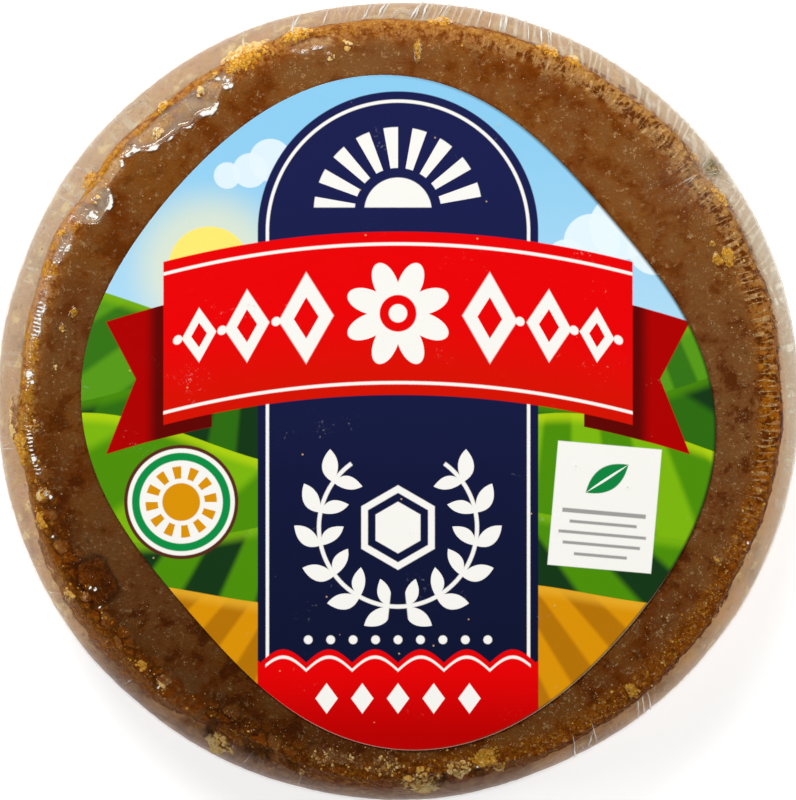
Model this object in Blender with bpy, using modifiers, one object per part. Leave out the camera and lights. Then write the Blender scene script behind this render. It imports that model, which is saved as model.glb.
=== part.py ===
"""A round block of panela, unrefined cane sugar, sealed in clear shrink film with a paper label on top.

Metres, +Z up, +Y towards the top of the label. The origin is the centre of the base.
"""

import math

import bmesh
import bpy

# The wrapped block
HEIGHT = 0.033
RIM_RADIUS = 0.0750
RIM_ROUND = 0.0016
WIDEST_RADIUS = 0.080
WIDEST_HEIGHT = 0.0105
BASE_RADIUS = 0.0745
SIDE_BULGE = 0.0007
SECTORS = 120
FACE_RINGS = 4
RIM_RINGS = 5
SIDE_RINGS = 8
FOOT_RINGS = 5
BASE_RINGS = 3

# The rim is broken and uneven: lobes round the block, how far each moves the rim in or out, and its phase
RIM_WAVES = ((1, 0.00035, 1.92), (4, 0.00012, 0.4), (7, 0.00014, 1.9), (13, 0.00018, 4.0), (23, 0.00018, 2.7))
SIDE_WAVES = ((2, 0.00035, 1.1), (5, 0.00025, 3.3), (11, 0.00012, 5.2))
WAVE_REACH = 0.0050

# Where lumps have broken off the rim and the film bridges the hollow: azimuth, half width and depth
CHIPS = (
    (math.radians(147), math.radians(5), 0.0006),
    (math.radians(126), math.radians(8), 0.0004),
    (math.radians(243), math.radians(5), 0.0013),
    (math.radians(250), math.radians(4), 0.0009),
    (math.radians(277), math.radians(7), 0.0008),
    (math.radians(37), math.radians(3), 0.0006),
)
CHIP_REACH = 0.0080
CHIP_DROP = 0.55

# The label: a leaning oval with squared shoulders, lying just clear of the face
LABEL_RADIUS = 0.0617
LABEL_STRETCH = 0.00325
LABEL_LEAN = math.radians(116)
LABEL_SHOULDERS = 0.00240
LABEL_CENTRE = (0.0001, -0.0025)
LABEL_THICKNESS = 0.00025
LABEL_GAP = 0.0003
LABEL_POINTS = 96

# Colour, roughness and metallic value
PANELA_FINISH = ((0.25, 0.10, 0.035, 1.0), 0.35, 0.0)
LABEL_FINISH = ((0.45, 0.01, 0.01, 1.0), 0.40, 0.0)


def clear_scene():
    for obj in list(bpy.data.objects):
        bpy.data.objects.remove(obj, do_unlink=True)


def new_collection(name):
    collection = bpy.data.collections.new(name)
    bpy.context.scene.collection.children.link(collection)
    return collection


def new_material(name, finish):
    colour, roughness, metallic = finish
    material = bpy.data.materials.new(name)
    material.use_nodes = True
    shader = material.node_tree.nodes["Principled BSDF"]
    shader.inputs["Base Color"].default_value = colour
    shader.inputs["Roughness"].default_value = roughness
    shader.inputs["Metallic"].default_value = metallic
    return material


def waves_at(waves, azimuth):
    """How far the named lobes move the surface outwards at this azimuth."""
    return sum(depth * math.sin(lobes * azimuth + phase) for lobes, depth, phase in waves)


def chip_at(azimuth):
    """How much of the rim is missing at this azimuth."""
    missing = 0.0
    for middle, half_width, depth in CHIPS:
        apart = math.remainder(azimuth - middle, math.tau)
        missing += depth * math.exp(-((apart / half_width) ** 2))
    return missing


def profile_points():
    """(radius, height) down the outside of the block, from the centre of its face to that of its base."""
    points = [(0.0, HEIGHT)]
    face_edge = RIM_RADIUS - RIM_ROUND
    plain_face = face_edge - CHIP_REACH
    points.append((plain_face, HEIGHT))
    for ring in range(1, FACE_RINGS):
        points.append((plain_face + CHIP_REACH * ring / FACE_RINGS, HEIGHT))
    for ring in range(RIM_RINGS + 1):
        turn = math.radians(80) * ring / RIM_RINGS
        radius = face_edge + RIM_ROUND * math.sin(turn)
        points.append((radius, HEIGHT - RIM_ROUND * (1 - math.cos(turn))))
    side_top_radius, side_top_height = points[-1]
    for ring in range(1, SIDE_RINGS + 1):
        share = ring / SIDE_RINGS
        radius = side_top_radius + (WIDEST_RADIUS - side_top_radius) * math.sin(share * math.pi / 2)
        radius += SIDE_BULGE * math.sin(share * math.pi)
        radius = min(radius, WIDEST_RADIUS)
        points.append((radius, side_top_height + (WIDEST_HEIGHT - side_top_height) * share))
    for ring in range(1, FOOT_RINGS + 1):
        turn = math.pi / 2 * ring / FOOT_RINGS
        radius = BASE_RADIUS + (WIDEST_RADIUS - BASE_RADIUS) * math.cos(turn)
        points.append((radius, WIDEST_HEIGHT * (1 - math.sin(turn))))
    for ring in range(1, BASE_RINGS):
        points.append((BASE_RADIUS * (1 - ring / BASE_RINGS), 0.0))
    points.append((0.0, 0.0))
    return points


def turned_mesh(name, points):
    """The profile turned once round Z, as a closed mesh."""
    profile = bpy.data.meshes.new(name)
    corners = [(radius, 0.0, height) for radius, height in points]
    edges = [(i, i + 1) for i in range(len(corners) - 1)]
    profile.from_pydata(corners, edges, [])
    turned = bpy.data.objects.new(name, profile)
    bpy.context.scene.collection.objects.link(turned)
    screw = turned.modifiers.new("turn", "SCREW")
    screw.angle = math.tau
    screw.steps = SECTORS
    screw.render_steps = SECTORS
    screw.use_merge_vertices = True
    screw.merge_threshold = 0.00001
    graph = bpy.context.evaluated_depsgraph_get()
    mesh = bpy.data.meshes.new_from_object(turned.evaluated_get(graph))
    bpy.data.objects.remove(turned, do_unlink=True)
    return mesh


def roughen(mesh):
    """Break up the rim and dent the side, leaving the base and the middle of the face flat."""
    rim_height = HEIGHT - RIM_ROUND
    for vertex in mesh.vertices:
        x, y, z = vertex.co
        radius = math.hypot(x, y)
        if radius < BASE_RADIUS - CHIP_REACH or z == 0.0:
            continue
        azimuth = math.atan2(y, x)
        from_rim = math.hypot(radius - RIM_RADIUS, z - rim_height)
        near_rim = math.exp(-((from_rim / WAVE_REACH) ** 2))
        near_chip = math.exp(-((from_rim / CHIP_REACH) ** 2))
        up_side = math.sin(math.pi * z / HEIGHT)
        chip = chip_at(azimuth) * near_chip
        push = waves_at(RIM_WAVES, azimuth) * near_rim - chip
        push += min(waves_at(SIDE_WAVES, azimuth), 0.0) * up_side
        new_radius = min(radius + push, WIDEST_RADIUS)
        scale = new_radius / radius
        vertex.co = (x * scale, y * scale, z - CHIP_DROP * chip * (z / HEIGHT))


def weld(mesh):
    cleaned = bmesh.new()
    cleaned.from_mesh(mesh)
    bmesh.ops.remove_doubles(cleaned, verts=cleaned.verts, dist=0.000001)
    bmesh.ops.recalc_face_normals(cleaned, faces=cleaned.faces)
    cleaned.to_mesh(mesh)
    cleaned.free()


def build_block(collection):
    mesh = turned_mesh("panela_in_film", profile_points())
    weld(mesh)
    roughen(mesh)
    mesh.materials.append(new_material("panela", PANELA_FINISH))
    mesh.shade_smooth()
    block = bpy.data.objects.new("panela_in_film", mesh)
    collection.objects.link(block)


def label_outline():
    """Points round the label, from its mean radius, its lean and its squared shoulders."""
    for step in range(LABEL_POINTS):
        azimuth = math.tau * step / LABEL_POINTS
        radius = LABEL_RADIUS
        radius += LABEL_STRETCH * math.cos(2 * (azimuth - LABEL_LEAN))
        radius += LABEL_SHOULDERS * math.cos(4 * azimuth)
        yield radius * math.cos(azimuth), radius * math.sin(azimuth)


def build_label(collection):
    outline = bpy.data.curves.new("label", "CURVE")
    outline.dimensions = "2D"
    outline.fill_mode = "BOTH"
    outline.extrude = LABEL_THICKNESS / 2
    spline = outline.splines.new("POLY")
    spline.points.add(LABEL_POINTS - 1)
    spline.use_cyclic_u = True
    for point, (x, y) in zip(spline.points, label_outline()):
        point.co = (x, y, 0.0, 1.0)
    outline.materials.append(new_material("label", LABEL_FINISH))
    label = bpy.data.objects.new("label", outline)
    label.location = (*LABEL_CENTRE, HEIGHT + LABEL_GAP + LABEL_THICKNESS / 2)
    collection.objects.link(label)


def main():
    clear_scene()
    collection = new_collection("round_panela")
    build_block(collection)
    build_label(collection)


main()
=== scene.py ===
"""The looks of a round block of panela in clear shrink film, with a paper label on top."""

import functools
import math

import bpy
import numpy as np
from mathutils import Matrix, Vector, noise


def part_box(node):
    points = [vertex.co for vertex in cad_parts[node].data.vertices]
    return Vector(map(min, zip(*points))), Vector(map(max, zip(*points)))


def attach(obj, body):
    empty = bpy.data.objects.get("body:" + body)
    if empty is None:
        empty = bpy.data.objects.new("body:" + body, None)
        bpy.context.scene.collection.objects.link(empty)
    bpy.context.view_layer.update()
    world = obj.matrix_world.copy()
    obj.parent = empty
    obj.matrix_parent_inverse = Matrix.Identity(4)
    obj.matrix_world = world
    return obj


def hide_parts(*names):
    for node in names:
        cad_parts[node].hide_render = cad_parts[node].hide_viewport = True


bl_info = {
    "name": "Round panela in shrink film",
    "version": (1, 0, 0),
    "blender": (4, 5, 0),
    "location": "3D View > Sidebar > Panela",
    "description": "Builds the sugar block, its film, folds, crumbs and label round the packed frame",
    "category": "Object",
}

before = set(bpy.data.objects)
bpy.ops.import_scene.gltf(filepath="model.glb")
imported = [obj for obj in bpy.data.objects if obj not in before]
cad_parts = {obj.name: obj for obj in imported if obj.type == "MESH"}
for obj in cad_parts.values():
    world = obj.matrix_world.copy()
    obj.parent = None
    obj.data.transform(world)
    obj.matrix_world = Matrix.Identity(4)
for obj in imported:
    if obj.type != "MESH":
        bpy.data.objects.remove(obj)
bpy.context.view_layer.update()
BLOCK_LOW, BLOCK_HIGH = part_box("panela_in_film")
LABEL_LOW, LABEL_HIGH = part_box("label")
BODY = "root"
MM = 0.001

# The wrapped outline, in the frame's own sizes
HEIGHT = BLOCK_HIGH.z
WIDEST_RADIUS = BLOCK_HIGH.x
WIDEST_HEIGHT = 10.5 * MM
RIM_RADIUS = 75.0 * MM
RIM_ROUND = 1.6 * MM
BASE_RADIUS = 74.5 * MM
SIDE_BULGE = 0.7 * MM
RIM_TURN = math.radians(80)

# The rim's lobes and the side's: how many round the block, how many millimetres each moves the surface,
# and its phase
RIM_WAVES = ((1, 0.35, 1.92), (4, 0.12, 0.4), (7, 0.14, 1.9), (13, 0.18, 4.0), (23, 0.18, 2.7))
SIDE_WAVES = ((2, 0.35, 1.1), (5, 0.25, 3.3), (11, 0.12, 5.2))
WAVE_REACH = 5.0 * MM

# The label's outline
LABEL_RADIUS = 61.7 * MM
LABEL_STRETCH = 3.25 * MM
LABEL_LEAN = math.radians(116)
LABEL_SHOULDERS = 2.4 * MM
LABEL_CENTRE = Vector(((LABEL_LOW.x + LABEL_HIGH.x) / 2, (LABEL_LOW.y + LABEL_HIGH.y) / 2, 0))


def screen(red, green, blue):
    """A colour given as 0 to 255 on a screen, as the linear colour that shaders use."""
    shares = (red / 255, green / 255, blue / 255)
    return tuple(s / 12.92 if s <= 0.04045 else ((s + 0.055) / 1.055) ** 2.4 for s in shares)


def length_prop(name, description, default):
    return bpy.props.FloatProperty(
        name=name, description=description, default=default, min=0.0, subtype="DISTANCE", unit="LENGTH",
        precision=5,
    )


def colour_prop(name, description, default):
    return bpy.props.FloatVectorProperty(
        name=name, description=description, default=default, size=3, min=0.0, max=1.0, subtype="COLOR"
    )


class PanelaSizes(bpy.types.PropertyGroup):
    """Sizes of the block, its film and what lies between them."""

    film_gap: length_prop("Film gap", "How far the sugar lies inside the film", 0.35 * MM)
    rim_break: length_prop("Rim break", "How deep the rim has crumbled", 0.9 * MM)
    pit_depth: length_prop("Pit depth", "How deep the pits in the face are", 0.35 * MM)
    crumb: length_prop("Crumb", "Radius of a large crumb", 0.46 * MM)
    grain: length_prop("Grain", "Radius of a large sugar grain", 0.20 * MM)
    fold_height: length_prop("Fold height", "Height of a fold in the film", 0.20 * MM)
    crease: length_prop("Crease", "Radius of a long crease in the film", 0.23 * MM)


class PanelaColours(bpy.types.PropertyGroup):
    """Colours of the sugar, the film and the label's print."""

    # Dark is also used for painted shade: at the rim's edge, in small hollows and pits, between clods and
    # round the nodule.
    dark: colour_prop("Dark sugar", "Wet, dense sugar", screen(98, 42, 2))
    rust: colour_prop("Red sugar", "Deep red-brown patches and the folds' hollows", screen(134, 64, 4))
    brown: colour_prop("Brown sugar", "Sugar of the face", screen(152, 88, 26))
    # Painted shadow: the colour that the clefts are darkened to.
    cleft_shadow: colour_prop("Crevices", "Cracks and clefts in the rim", screen(46, 24, 8))
    # Partly painted sheen: this purple-brown stands in for the film's reflection over the sugar.
    mauve_and_sheen: colour_prop("Misted sugar", "Sugar dulled by air under the film", screen(146, 98, 54))
    blush: colour_prop("Side blush", "Pinker stretches of the side", screen(196, 146, 110))
    mist: colour_prop("Hollows", "Sugar seen through slack film", screen(176, 138, 112))
    tan: colour_prop("Tan folds", "Crests of the folds round the rim", screen(206, 156, 98))
    amber: colour_prop("Amber sugar", "Sugar along the rim", screen(172, 96, 8))
    golden: colour_prop("Golden crumbs", "Golden lumps and crumbs", screen(228, 167, 50))
    cream: colour_prop("Pale crumbs", "Dry, pale crumbs and the lumps' outer sides", screen(248, 219, 154))
    speck: colour_prop("Specks", "Pale specks of dry sugar", screen(212, 170, 116))
    cast: colour_prop("Side", "The dry side, cast against the mould", screen(190, 143, 94))
    pale: colour_prop("Pale side", "Paler stretches of the side", screen(202, 161, 114))
    olive: colour_prop("Green cast", "The side by the film's gathered point", screen(112, 90, 6))
    milk: colour_prop("Film haze", "What the creased film scatters", screen(226, 215, 190))
    # Paper also colours the film's painted highlights.
    paper: colour_prop("Paper", "The label's white print and bright creases", screen(240, 238, 232))
    red: colour_prop("Red", "The label's red", screen(226, 2, 4))
    navy: colour_prop("Navy", "The label's navy", screen(26, 30, 76))
    sky: colour_prop("Sky", "The label's blue", screen(136, 198, 232))
    leaf: colour_prop("Green", "The label's green", screen(74, 138, 8))
    ochre: colour_prop("Ochre", "The label's ground", screen(212, 142, 6))


# ---------------------------------------------------------------- shader maths


class Shade:
    """A shader socket that plain arithmetic works on."""

    def __init__(self, tree, socket):
        self.tree = tree
        self.socket = socket

    def maths(self, operation, *values, clamp=False):
        settings = {"operation": operation, "use_clamp": clamp}
        return add_node(self.tree, "ShaderNodeMath", settings, dict(enumerate(values)))

    def __add__(self, other):
        return self.maths("ADD", self, other)

    def __sub__(self, other):
        return self.maths("SUBTRACT", self, other)

    def __mul__(self, other):
        return self.maths("MULTIPLY", self, other)

    def __truediv__(self, other):
        return self.maths("DIVIDE", self, other)

    def __pow__(self, other):
        return self.maths("POWER", self, other)

    def __abs__(self):
        return self.maths("ABSOLUTE", self)

    def __radd__(self, other):
        return self.maths("ADD", other, self)

    def __rsub__(self, other):
        return self.maths("SUBTRACT", other, self)

    def __rmul__(self, other):
        return self.maths("MULTIPLY", other, self)

    def __rtruediv__(self, other):
        return self.maths("DIVIDE", other, self)

    def held(self):
        """Kept between 0 and 1."""
        return self.maths("ADD", self, 0.0, clamp=True)

    def most(self, other):
        return self.maths("MAXIMUM", self, other)

    def sine(self):
        return self.maths("SINE", self)

    def part(self):
        return self.maths("FRACT", self)

    def rise(self, low, high):
        """0 below low, 1 above high and smooth between."""
        settings = {"interpolation_type": "SMOOTHSTEP", "clamp": True}
        values = {"Value": self, "From Min": low, "From Max": high}
        return add_node(self.tree, "ShaderNodeMapRange", settings, values)


def add_node(tree, kind, settings=None, values=None, output=0):
    """A shader node with its settings made first, then its sockets set or linked."""
    node = tree.nodes.new(kind)
    for name, value in (settings or {}).items():
        if name == "stops":
            fill_ramp(node.color_ramp, value)
        else:
            setattr(node, name, value)
    for key, value in (values or {}).items():
        if isinstance(value, Shade):
            tree.links.new(value.socket, node.inputs[key])
        else:
            node.inputs[key].default_value = value
    return Shade(tree, node.outputs[output])


def vector_maths(tree, operation, values):
    return add_node(tree, "ShaderNodeVectorMath", {"operation": operation}, values)


def fill_ramp(ramp, stops):
    while len(ramp.elements) < len(stops):
        ramp.elements.new(1.0)
    for element, (position, colour) in zip(ramp.elements, stops):
        element.position = position
        element.color = (*colour, 1.0)


def opaque(colour):
    return (*colour, 1.0)


def blend(factor, under, over):
    """Colour over laid on colour under by factor."""
    values = {0: factor}
    for key, colour in ((6, under), (7, over)):
        values[key] = colour if isinstance(colour, Shade) else opaque(colour)
    tree = factor.tree
    return add_node(tree, "ShaderNodeMix", {"data_type": "RGBA"}, values, output=2)


def own_place(tree):
    """The piece's own coordinates: the vector, and its three numbers in millimetres."""
    place = add_node(tree, "ShaderNodeTexCoord", output=3)
    split = add_node(tree, "ShaderNodeSeparateXYZ", values={0: place})
    axes = [Shade(tree, split.socket.node.outputs[i]) / MM for i in range(3)]
    return place, axes


def speckle(place, size, detail=2.0, roughness=0.5, distortion=0.0):
    """Cloudy noise whose features are about size across."""
    values = {
        "Vector": place,
        "Scale": 1 / size,
        "Detail": detail,
        "Roughness": roughness,
        "Distortion": distortion,
    }
    return add_node(place.tree, "ShaderNodeTexNoise", values=values)


def cells(place, size, feature="F1", output=0):
    """Distance to the nearest of scattered points about size apart."""
    return add_node(
        place.tree, "ShaderNodeTexVoronoi", {"feature": feature}, {"Vector": place, "Scale": 1 / size}, output
    )


def attribute(tree, name):
    return add_node(tree, "ShaderNodeAttribute", {"attribute_name": name}, output=2)


def new_material(name):
    """An empty material, and its tree."""
    material = bpy.data.materials.new(name)
    material.use_nodes = True
    material.node_tree.nodes.clear()
    return material, material.node_tree


def finish_material(tree, shader):
    output = tree.nodes.new("ShaderNodeOutputMaterial")
    tree.links.new(shader.socket, output.inputs["Surface"])


def bump(height, strength, distance):
    return add_node(
        height.tree, "ShaderNodeBump", values={"Height": height, "Strength": strength, "Distance": distance}
    )


def finish_solid(tree, colour, roughness, gloss, normal):
    """End a material whose surface hides what is under it."""
    values = {
        "Base Color": colour,
        "Roughness": roughness,
        "IOR": 1.45,
        "Specular IOR Level": gloss,
        "Normal": normal,
    }
    finish_material(tree, add_node(tree, "ShaderNodeBsdfPrincipled", values=values))


# ---------------------------------------------------------------- the wrapped form

FACE_EDGE = RIM_RADIUS - RIM_ROUND

# Fine pleats and broad folds in the film, and tan strokes in the sugar, that would fit round the rim
PLEATS_ROUND = 580
FOLDS_ROUND = 200
STROKES_ROUND = 300

# Points along each long crease in the film
CREASE_STEPS = 16

# Sectors round each piece
BLOCK_SECTORS = 970
FILM_SECTORS = 1500
LABEL_SECTORS = 256

# Crumbs that lie outside the clumps, grains of sugar, and the seeds of what is scattered
LOOSE_CRUMBS = 200
GRAINS = 1700
CRUMB_SEED = 8
GRAIN_SEED = 21
CREASE_SEED = 17

# Where lumps have broken off the rim: azimuth and half width in degrees, and depth in millimetres
CHIPS = (
    (147, 5, 0.6),
    (126, 8, 0.4),
    (243, 5, 1.3),
    (250, 4, 0.9),
    (277, 7, 0.8),
    (37, 3, 0.6),
)
CHIP_REACH = 8.0 * MM
CHIP_DROP = 0.55

# Hollows that the film bridges: azimuth and half width in degrees, then in millimetres the inner and
# outer edge from the rim, and how deep the sugar and the film lie there
HOLLOWS = (
    (147.3, 3.2, -6.2, -0.4, 1.5, 0.75),
    (103.5, 4.6, -4.0, -1.8, 0.4, 0.12),
    (141.5, 2.8, -3.8, -1.4, 0.9, 0.40),
    (155.5, 3.2, -3.4, -1.4, 0.8, 0.35),
    (131.0, 5.2, -6.2, -1.6, 1.2, 0.60),
    (124.5, 5.6, -6.9, -1.8, 1.4, 0.70),
    (118.9, 2.0, -4.4, -1.0, 0.9, 0.35),
    (136.6, 2.4, -3.0, -1.0, 0.8, 0.35),
    (166.0, 7.5, -2.5, -1.2, 0.5, 0.15),
)

# Which column of that table holds which depth
SUGAR_DEPTH = 4
FILM_DEPTH = 5

# Clefts where the rim has cracked or crumbled away under taut film: as above, but the film stays
CLEFTS = (
    (240.3, 0.9, -2.0, 7.0, 1.2),
    (244.4, 2.4, -1.6, 1.2, 0.6),
    (248.2, 2.3, -0.4, 7.0, 2.0),
    (253.8, 1.7, 0.8, 4.0, 0.9),
    (223.4, 1.6, 1.4, 7.0, 0.5),
    (229.8, 0.8, -1.2, 1.6, 0.7),
    (276.2, 1.6, 0.6, 6.0, 1.1),
    (281.9, 1.2, 0.6, 4.6, 0.9),
    (271.4, 0.9, -2.0, 0.5, 0.7),
    (214.2, 0.8, -0.6, 2.0, 0.6),
    (193.8, 0.8, -0.8, 1.2, 0.5),
    (76.5, 0.5, -1.4, -0.1, 0.4),
)

# Lumps and crumbs on the rim: azimuth in degrees, then in millimetres the radius, the half length round
# the rim and the half width; then how golden the lump is, how pale its outer side is, how many loose
# crumbs it has and their size
CLUMPS = (
    (113.8, 73.6, 5.0, 2.5, 0.85, 1.0, 60, 1.1),
    (105.6, 74.4, 3.0, 1.2, 0.70, 1.0, 30, 0.9),
    (101.3, 68.8, 0.8, 0.7, 0.10, 0.0, 7, 1.7),
    (98.0, 70.4, 0.6, 0.5, 0.10, 0.0, 4, 1.8),
    (128.8, 73.6, 1.3, 0.9, 0.55, 0.5, 7, 1.2),
    (132.0, 70.6, 0.9, 0.8, 0.10, 0.3, 9, 1.6),
    (123.0, 71.6, 0.6, 0.6, 0.05, 0.0, 4, 1.4),
    (119.6, 73.2, 0.9, 0.9, 0.60, 0.4, 5, 1.0),
    (144.6, 74.4, 2.2, 1.0, 0.90, 0.3, 18, 1.0),
    (146.4, 70.8, 0.9, 0.6, 0.10, 0.3, 5, 1.3),
    (153.6, 73.6, 0.9, 0.9, 0.75, 0.2, 5, 0.9),
    (165.0, 65.9, 1.3, 0.8, 1.00, 0.0, 3, 0.9),
    (167.8, 67.4, 0.8, 0.6, 0.60, 0.0, 4, 0.9),
    (174.7, 67.8, 0.4, 0.4, 0.30, 0.0, 2, 0.9),
    (184.3, 70.8, 1.4, 1.6, 0.35, 0.2, 5, 0.9),
    (187.6, 74.4, 3.0, 0.9, 1.00, 0.3, 24, 0.8),
    (183.0, 75.5, 5.0, 0.8, 0.10, 1.0, 5, 0.8),
    (198.4, 74.0, 2.2, 0.8, 0.90, 0.5, 18, 0.8),
    (194.8, 72.0, 1.2, 1.4, 0.65, 0.7, 16, 0.8),
    (210.7, 75.0, 1.3, 1.0, 0.35, 0.7, 12, 1.1),
    (212.4, 72.3, 0.8, 0.8, 0.30, 0.2, 4, 1.2),
    (226.0, 72.2, 1.2, 0.8, 1.00, 0.2, 4, 1.2),
    (230.3, 71.9, 1.4, 1.2, 0.10, 0.7, 4, 0.9),
    (242.7, 76.4, 2.5, 2.0, 0.22, 1.0, 44, 1.6),
    (255.4, 75.4, 0.8, 0.7, 0.20, 0.8, 3, 1.0),
    (260.0, 71.3, 4.6, 1.5, 0.20, 0.0, 34, 0.75),
    (268.0, 71.9, 3.8, 1.8, 0.20, 0.0, 38, 0.80),
    (273.9, 75.0, 3.8, 2.4, 0.25, 1.0, 60, 1.4),
    (279.5, 73.4, 2.4, 1.6, 0.30, 0.8, 30, 1.2),
    (283.6, 72.0, 2.8, 1.7, 0.95, 0.2, 26, 0.9),
    (285.4, 74.6, 1.3, 1.0, 0.45, 0.6, 4, 0.9),
    (308.9, 73.2, 0.9, 1.8, 0.80, 0.2, 12, 0.9),
    (320.5, 67.8, 0.6, 1.0, 0.25, 0.2, 4, 0.9),
    (333.5, 70.3, 0.9, 1.0, 0.50, 0.1, 2, 0.8),
    (23.8, 70.6, 1.9, 1.0, 1.00, 0.0, 3, 0.8),
    (23.7, 68.4, 1.4, 1.0, 1.00, 0.0, 2, 0.8),
    (26.4, 68.9, 0.6, 0.4, 0.80, 0.0, 1, 0.8),
    (32.7, 74.8, 2.8, 0.9, 0.60, 0.7, 16, 0.8),
    (39.0, 75.2, 1.5, 0.6, 0.65, 0.6, 8, 0.8),
    (62.8, 74.9, 1.7, 0.9, 0.95, 0.8, 8, 0.8),
    (66.8, 74.8, 2.2, 1.1, 1.00, 0.8, 14, 0.8),
    (83.3, 74.8, 2.7, 0.8, 0.95, 0.8, 14, 0.8),
    (86.8, 68.6, 0.6, 2.8, 0.60, 0.0, 0, 0.8),
)

# Where the film was gathered to a point at the rim, in degrees and millimetres, and the shade outside it
KNOT_AZIMUTH = 37.0
KNOT_RADIUS = 75.4
KNOT_SHADE = (36.4, 77.2)

# Stretches of the rim, each with its middle and half width in degrees and how strong it is: where it has
# crumbled, is lumpy or pleated, where slack film makes it purple-brown (partly painted film sheen), where it
# is darker brown with painted shade on the lower side, and how far the brown spreads down the side
CRUMBLED = ((262, 44, 1.0), (322, 34, 0.5))
LUMPY = ((206, 22, 1.0), (242, 18, 1.0))
PLEATED = ((20, 30, 1.0), (58, 22, 0.75), (356, 12, 0.6), (180, 20, 0.3))
MISTED_AND_SHEEN = ((2, 20, 0.8), (48, 36, 0.4), (98, 14, 0.8), (168, 12, 0.7), (214, 18, 0.65), (334, 20, 0.45))
BROWN_AND_SHADED = ((253, 20, 1.0), (276, 14, 0.8), (224, 8, 0.7), (302, 24, 0.4))
SPREAD = (
    (38, 30, 1.5),
    (54, 34, 1.3),
    (140, 18, 0.9),
    (204, 14, 1.5),
    (213, 10, 4.0),
    (225, 7, 5.0),
    (237, 4, -1.6),
    (254, 15, 5.6),
    (262, 16, 2.4),
    (278, 11, 4.6),
    (302, 18, 1.2),
    (345, 34, 0.9),
)
LEAST_SPREAD = 1.1

# The same for the film: where folds run across its side, and where it is dull
RIBBED = ((68, 30, 1.2), (30, 24, 0.5), (195, 30, 0.2), (310, 20, 0.2))
DULL = ((252, 52, 1.4), (325, 34, 0.7))

# Painted highlights where the film catches the light, drawn white on small bumps of the film: azimuth, then
# radius and half size in millimetres
PAINTED_GLINTS = (
    (148.6, 69.9, 0.75),
    (149.4, 70.5, 0.45),
    (176.0, 72.6, 0.60),
    (177.2, 71.8, 0.35),
    (211.4, 70.7, 0.24),
    (212.0, 70.0, 0.30),
    (214.8, 71.2, 0.20),
    (194.9, 71.3, 0.45),
    (195.6, 70.7, 0.30),
    (189.2, 72.2, 0.40),
    (201.6, 72.8, 0.24),
    (118.2, 71.4, 0.60),
    (119.3, 72.2, 0.36),
    (230.2, 73.4, 0.24),
    (282.2, 73.6, 0.20),
    (337.8, 74.2, 0.22),
)


def waves_at(waves, azimuth):
    """How far the named lobes move the surface outwards, in metres."""
    return sum(depth * MM * np.sin(lobes * azimuth + phase) for lobes, depth, phase in waves)


def near(azimuth, middle, half_width):
    """1 at the middle azimuth, falling to 0 past half_width, both in degrees."""
    apart = np.degrees(np.angle(np.exp(1j * (azimuth - math.radians(middle)))))
    return np.exp(-((apart / half_width) ** 2))


def along_rim(azimuth, stretches):
    """The strengths of these stretches of the rim, added up."""
    return sum(strength * near(azimuth, middle, half_width) for middle, half_width, strength in stretches)


def bell(values, middle, half_width):
    return np.exp(-(((values - middle) / half_width) ** 2))


def ease(values, low, high):
    """0 below low, 1 above high and smooth between."""
    share = np.clip((values - low) / (high - low), 0, 1)
    return share * share * (3 - 2 * share)


def ring_steps(*stretches):
    """Radii from (start, end, step) stretches in millimetres, each without its end."""
    found = []
    for start, end, step in stretches:
        count = max(1, round(abs(end - start) / step))
        found += [(start + (end - start) * i / count) * MM for i in range(count)]
    return found


def profile(face_rings, rim_rings, side_rings, foot_rings):
    """Radius and height of each ring down the outside, from the centre of the face to that of the base."""
    points = [(radius, HEIGHT) for radius in face_rings]
    for ring in range(rim_rings + 1):
        turn = RIM_TURN * ring / rim_rings
        points.append((FACE_EDGE + RIM_ROUND * math.sin(turn), HEIGHT - RIM_ROUND * (1 - math.cos(turn))))
    top_radius, top_height = points[-1]
    for ring in range(1, side_rings + 1):
        share = (ring / side_rings) ** 1.25
        radius = top_radius + (WIDEST_RADIUS - top_radius) * math.sin(share * math.pi / 2)
        radius = min(radius + SIDE_BULGE * math.sin(share * math.pi), WIDEST_RADIUS)
        points.append((radius, top_height + (WIDEST_HEIGHT - top_height) * share))
    for ring in range(1, foot_rings + 1):
        turn = math.pi / 2 * ring / foot_rings
        radius = BASE_RADIUS + (WIDEST_RADIUS - BASE_RADIUS) * math.cos(turn)
        points.append((radius, WIDEST_HEIGHT * (1 - math.sin(turn))))
    points += [(BASE_RADIUS * 0.97, 0.0), (BASE_RADIUS * 0.6, 0.0), (0.0, 0.0)]
    return np.array(points)


def ring_mesh(name, places):
    """A closed mesh from places[ring, sector], whose first and last rings are single points."""
    rings, sectors = places.shape[:2]
    top, bottom = places[0].mean(axis=0), places[-1].mean(axis=0)
    points = np.concatenate([top[None], places[1:-1].reshape(-1, 3), bottom[None]])
    start = 1 + np.arange(rings - 2)[:, None] * sectors
    here = start + np.arange(sectors)[None, :]
    after = start + np.roll(np.arange(sectors), -1)[None, :]
    walls = np.stack([here[:-1], here[1:], after[1:], after[:-1]], axis=-1).reshape(-1, 4)
    last = len(points) - 1
    faces = walls.tolist()
    faces += [[0, int(a), int(b)] for a, b in zip(here[0], after[0])]
    faces += [[last, int(b), int(a)] for a, b in zip(here[-1], after[-1])]
    mesh = bpy.data.meshes.new(name)
    mesh.from_pydata(points, [], faces)
    mesh.shade_smooth()
    return mesh


def write_attribute(mesh, name, values):
    """A number for each vertex of a ring mesh, from values[ring, sector]."""
    flat = np.concatenate([values[0, :1], values[1:-1].ravel(), values[-1, :1]])
    mesh.attributes.new(name, "FLOAT", "POINT").data.foreach_set("value", flat.astype(np.float32))


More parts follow.
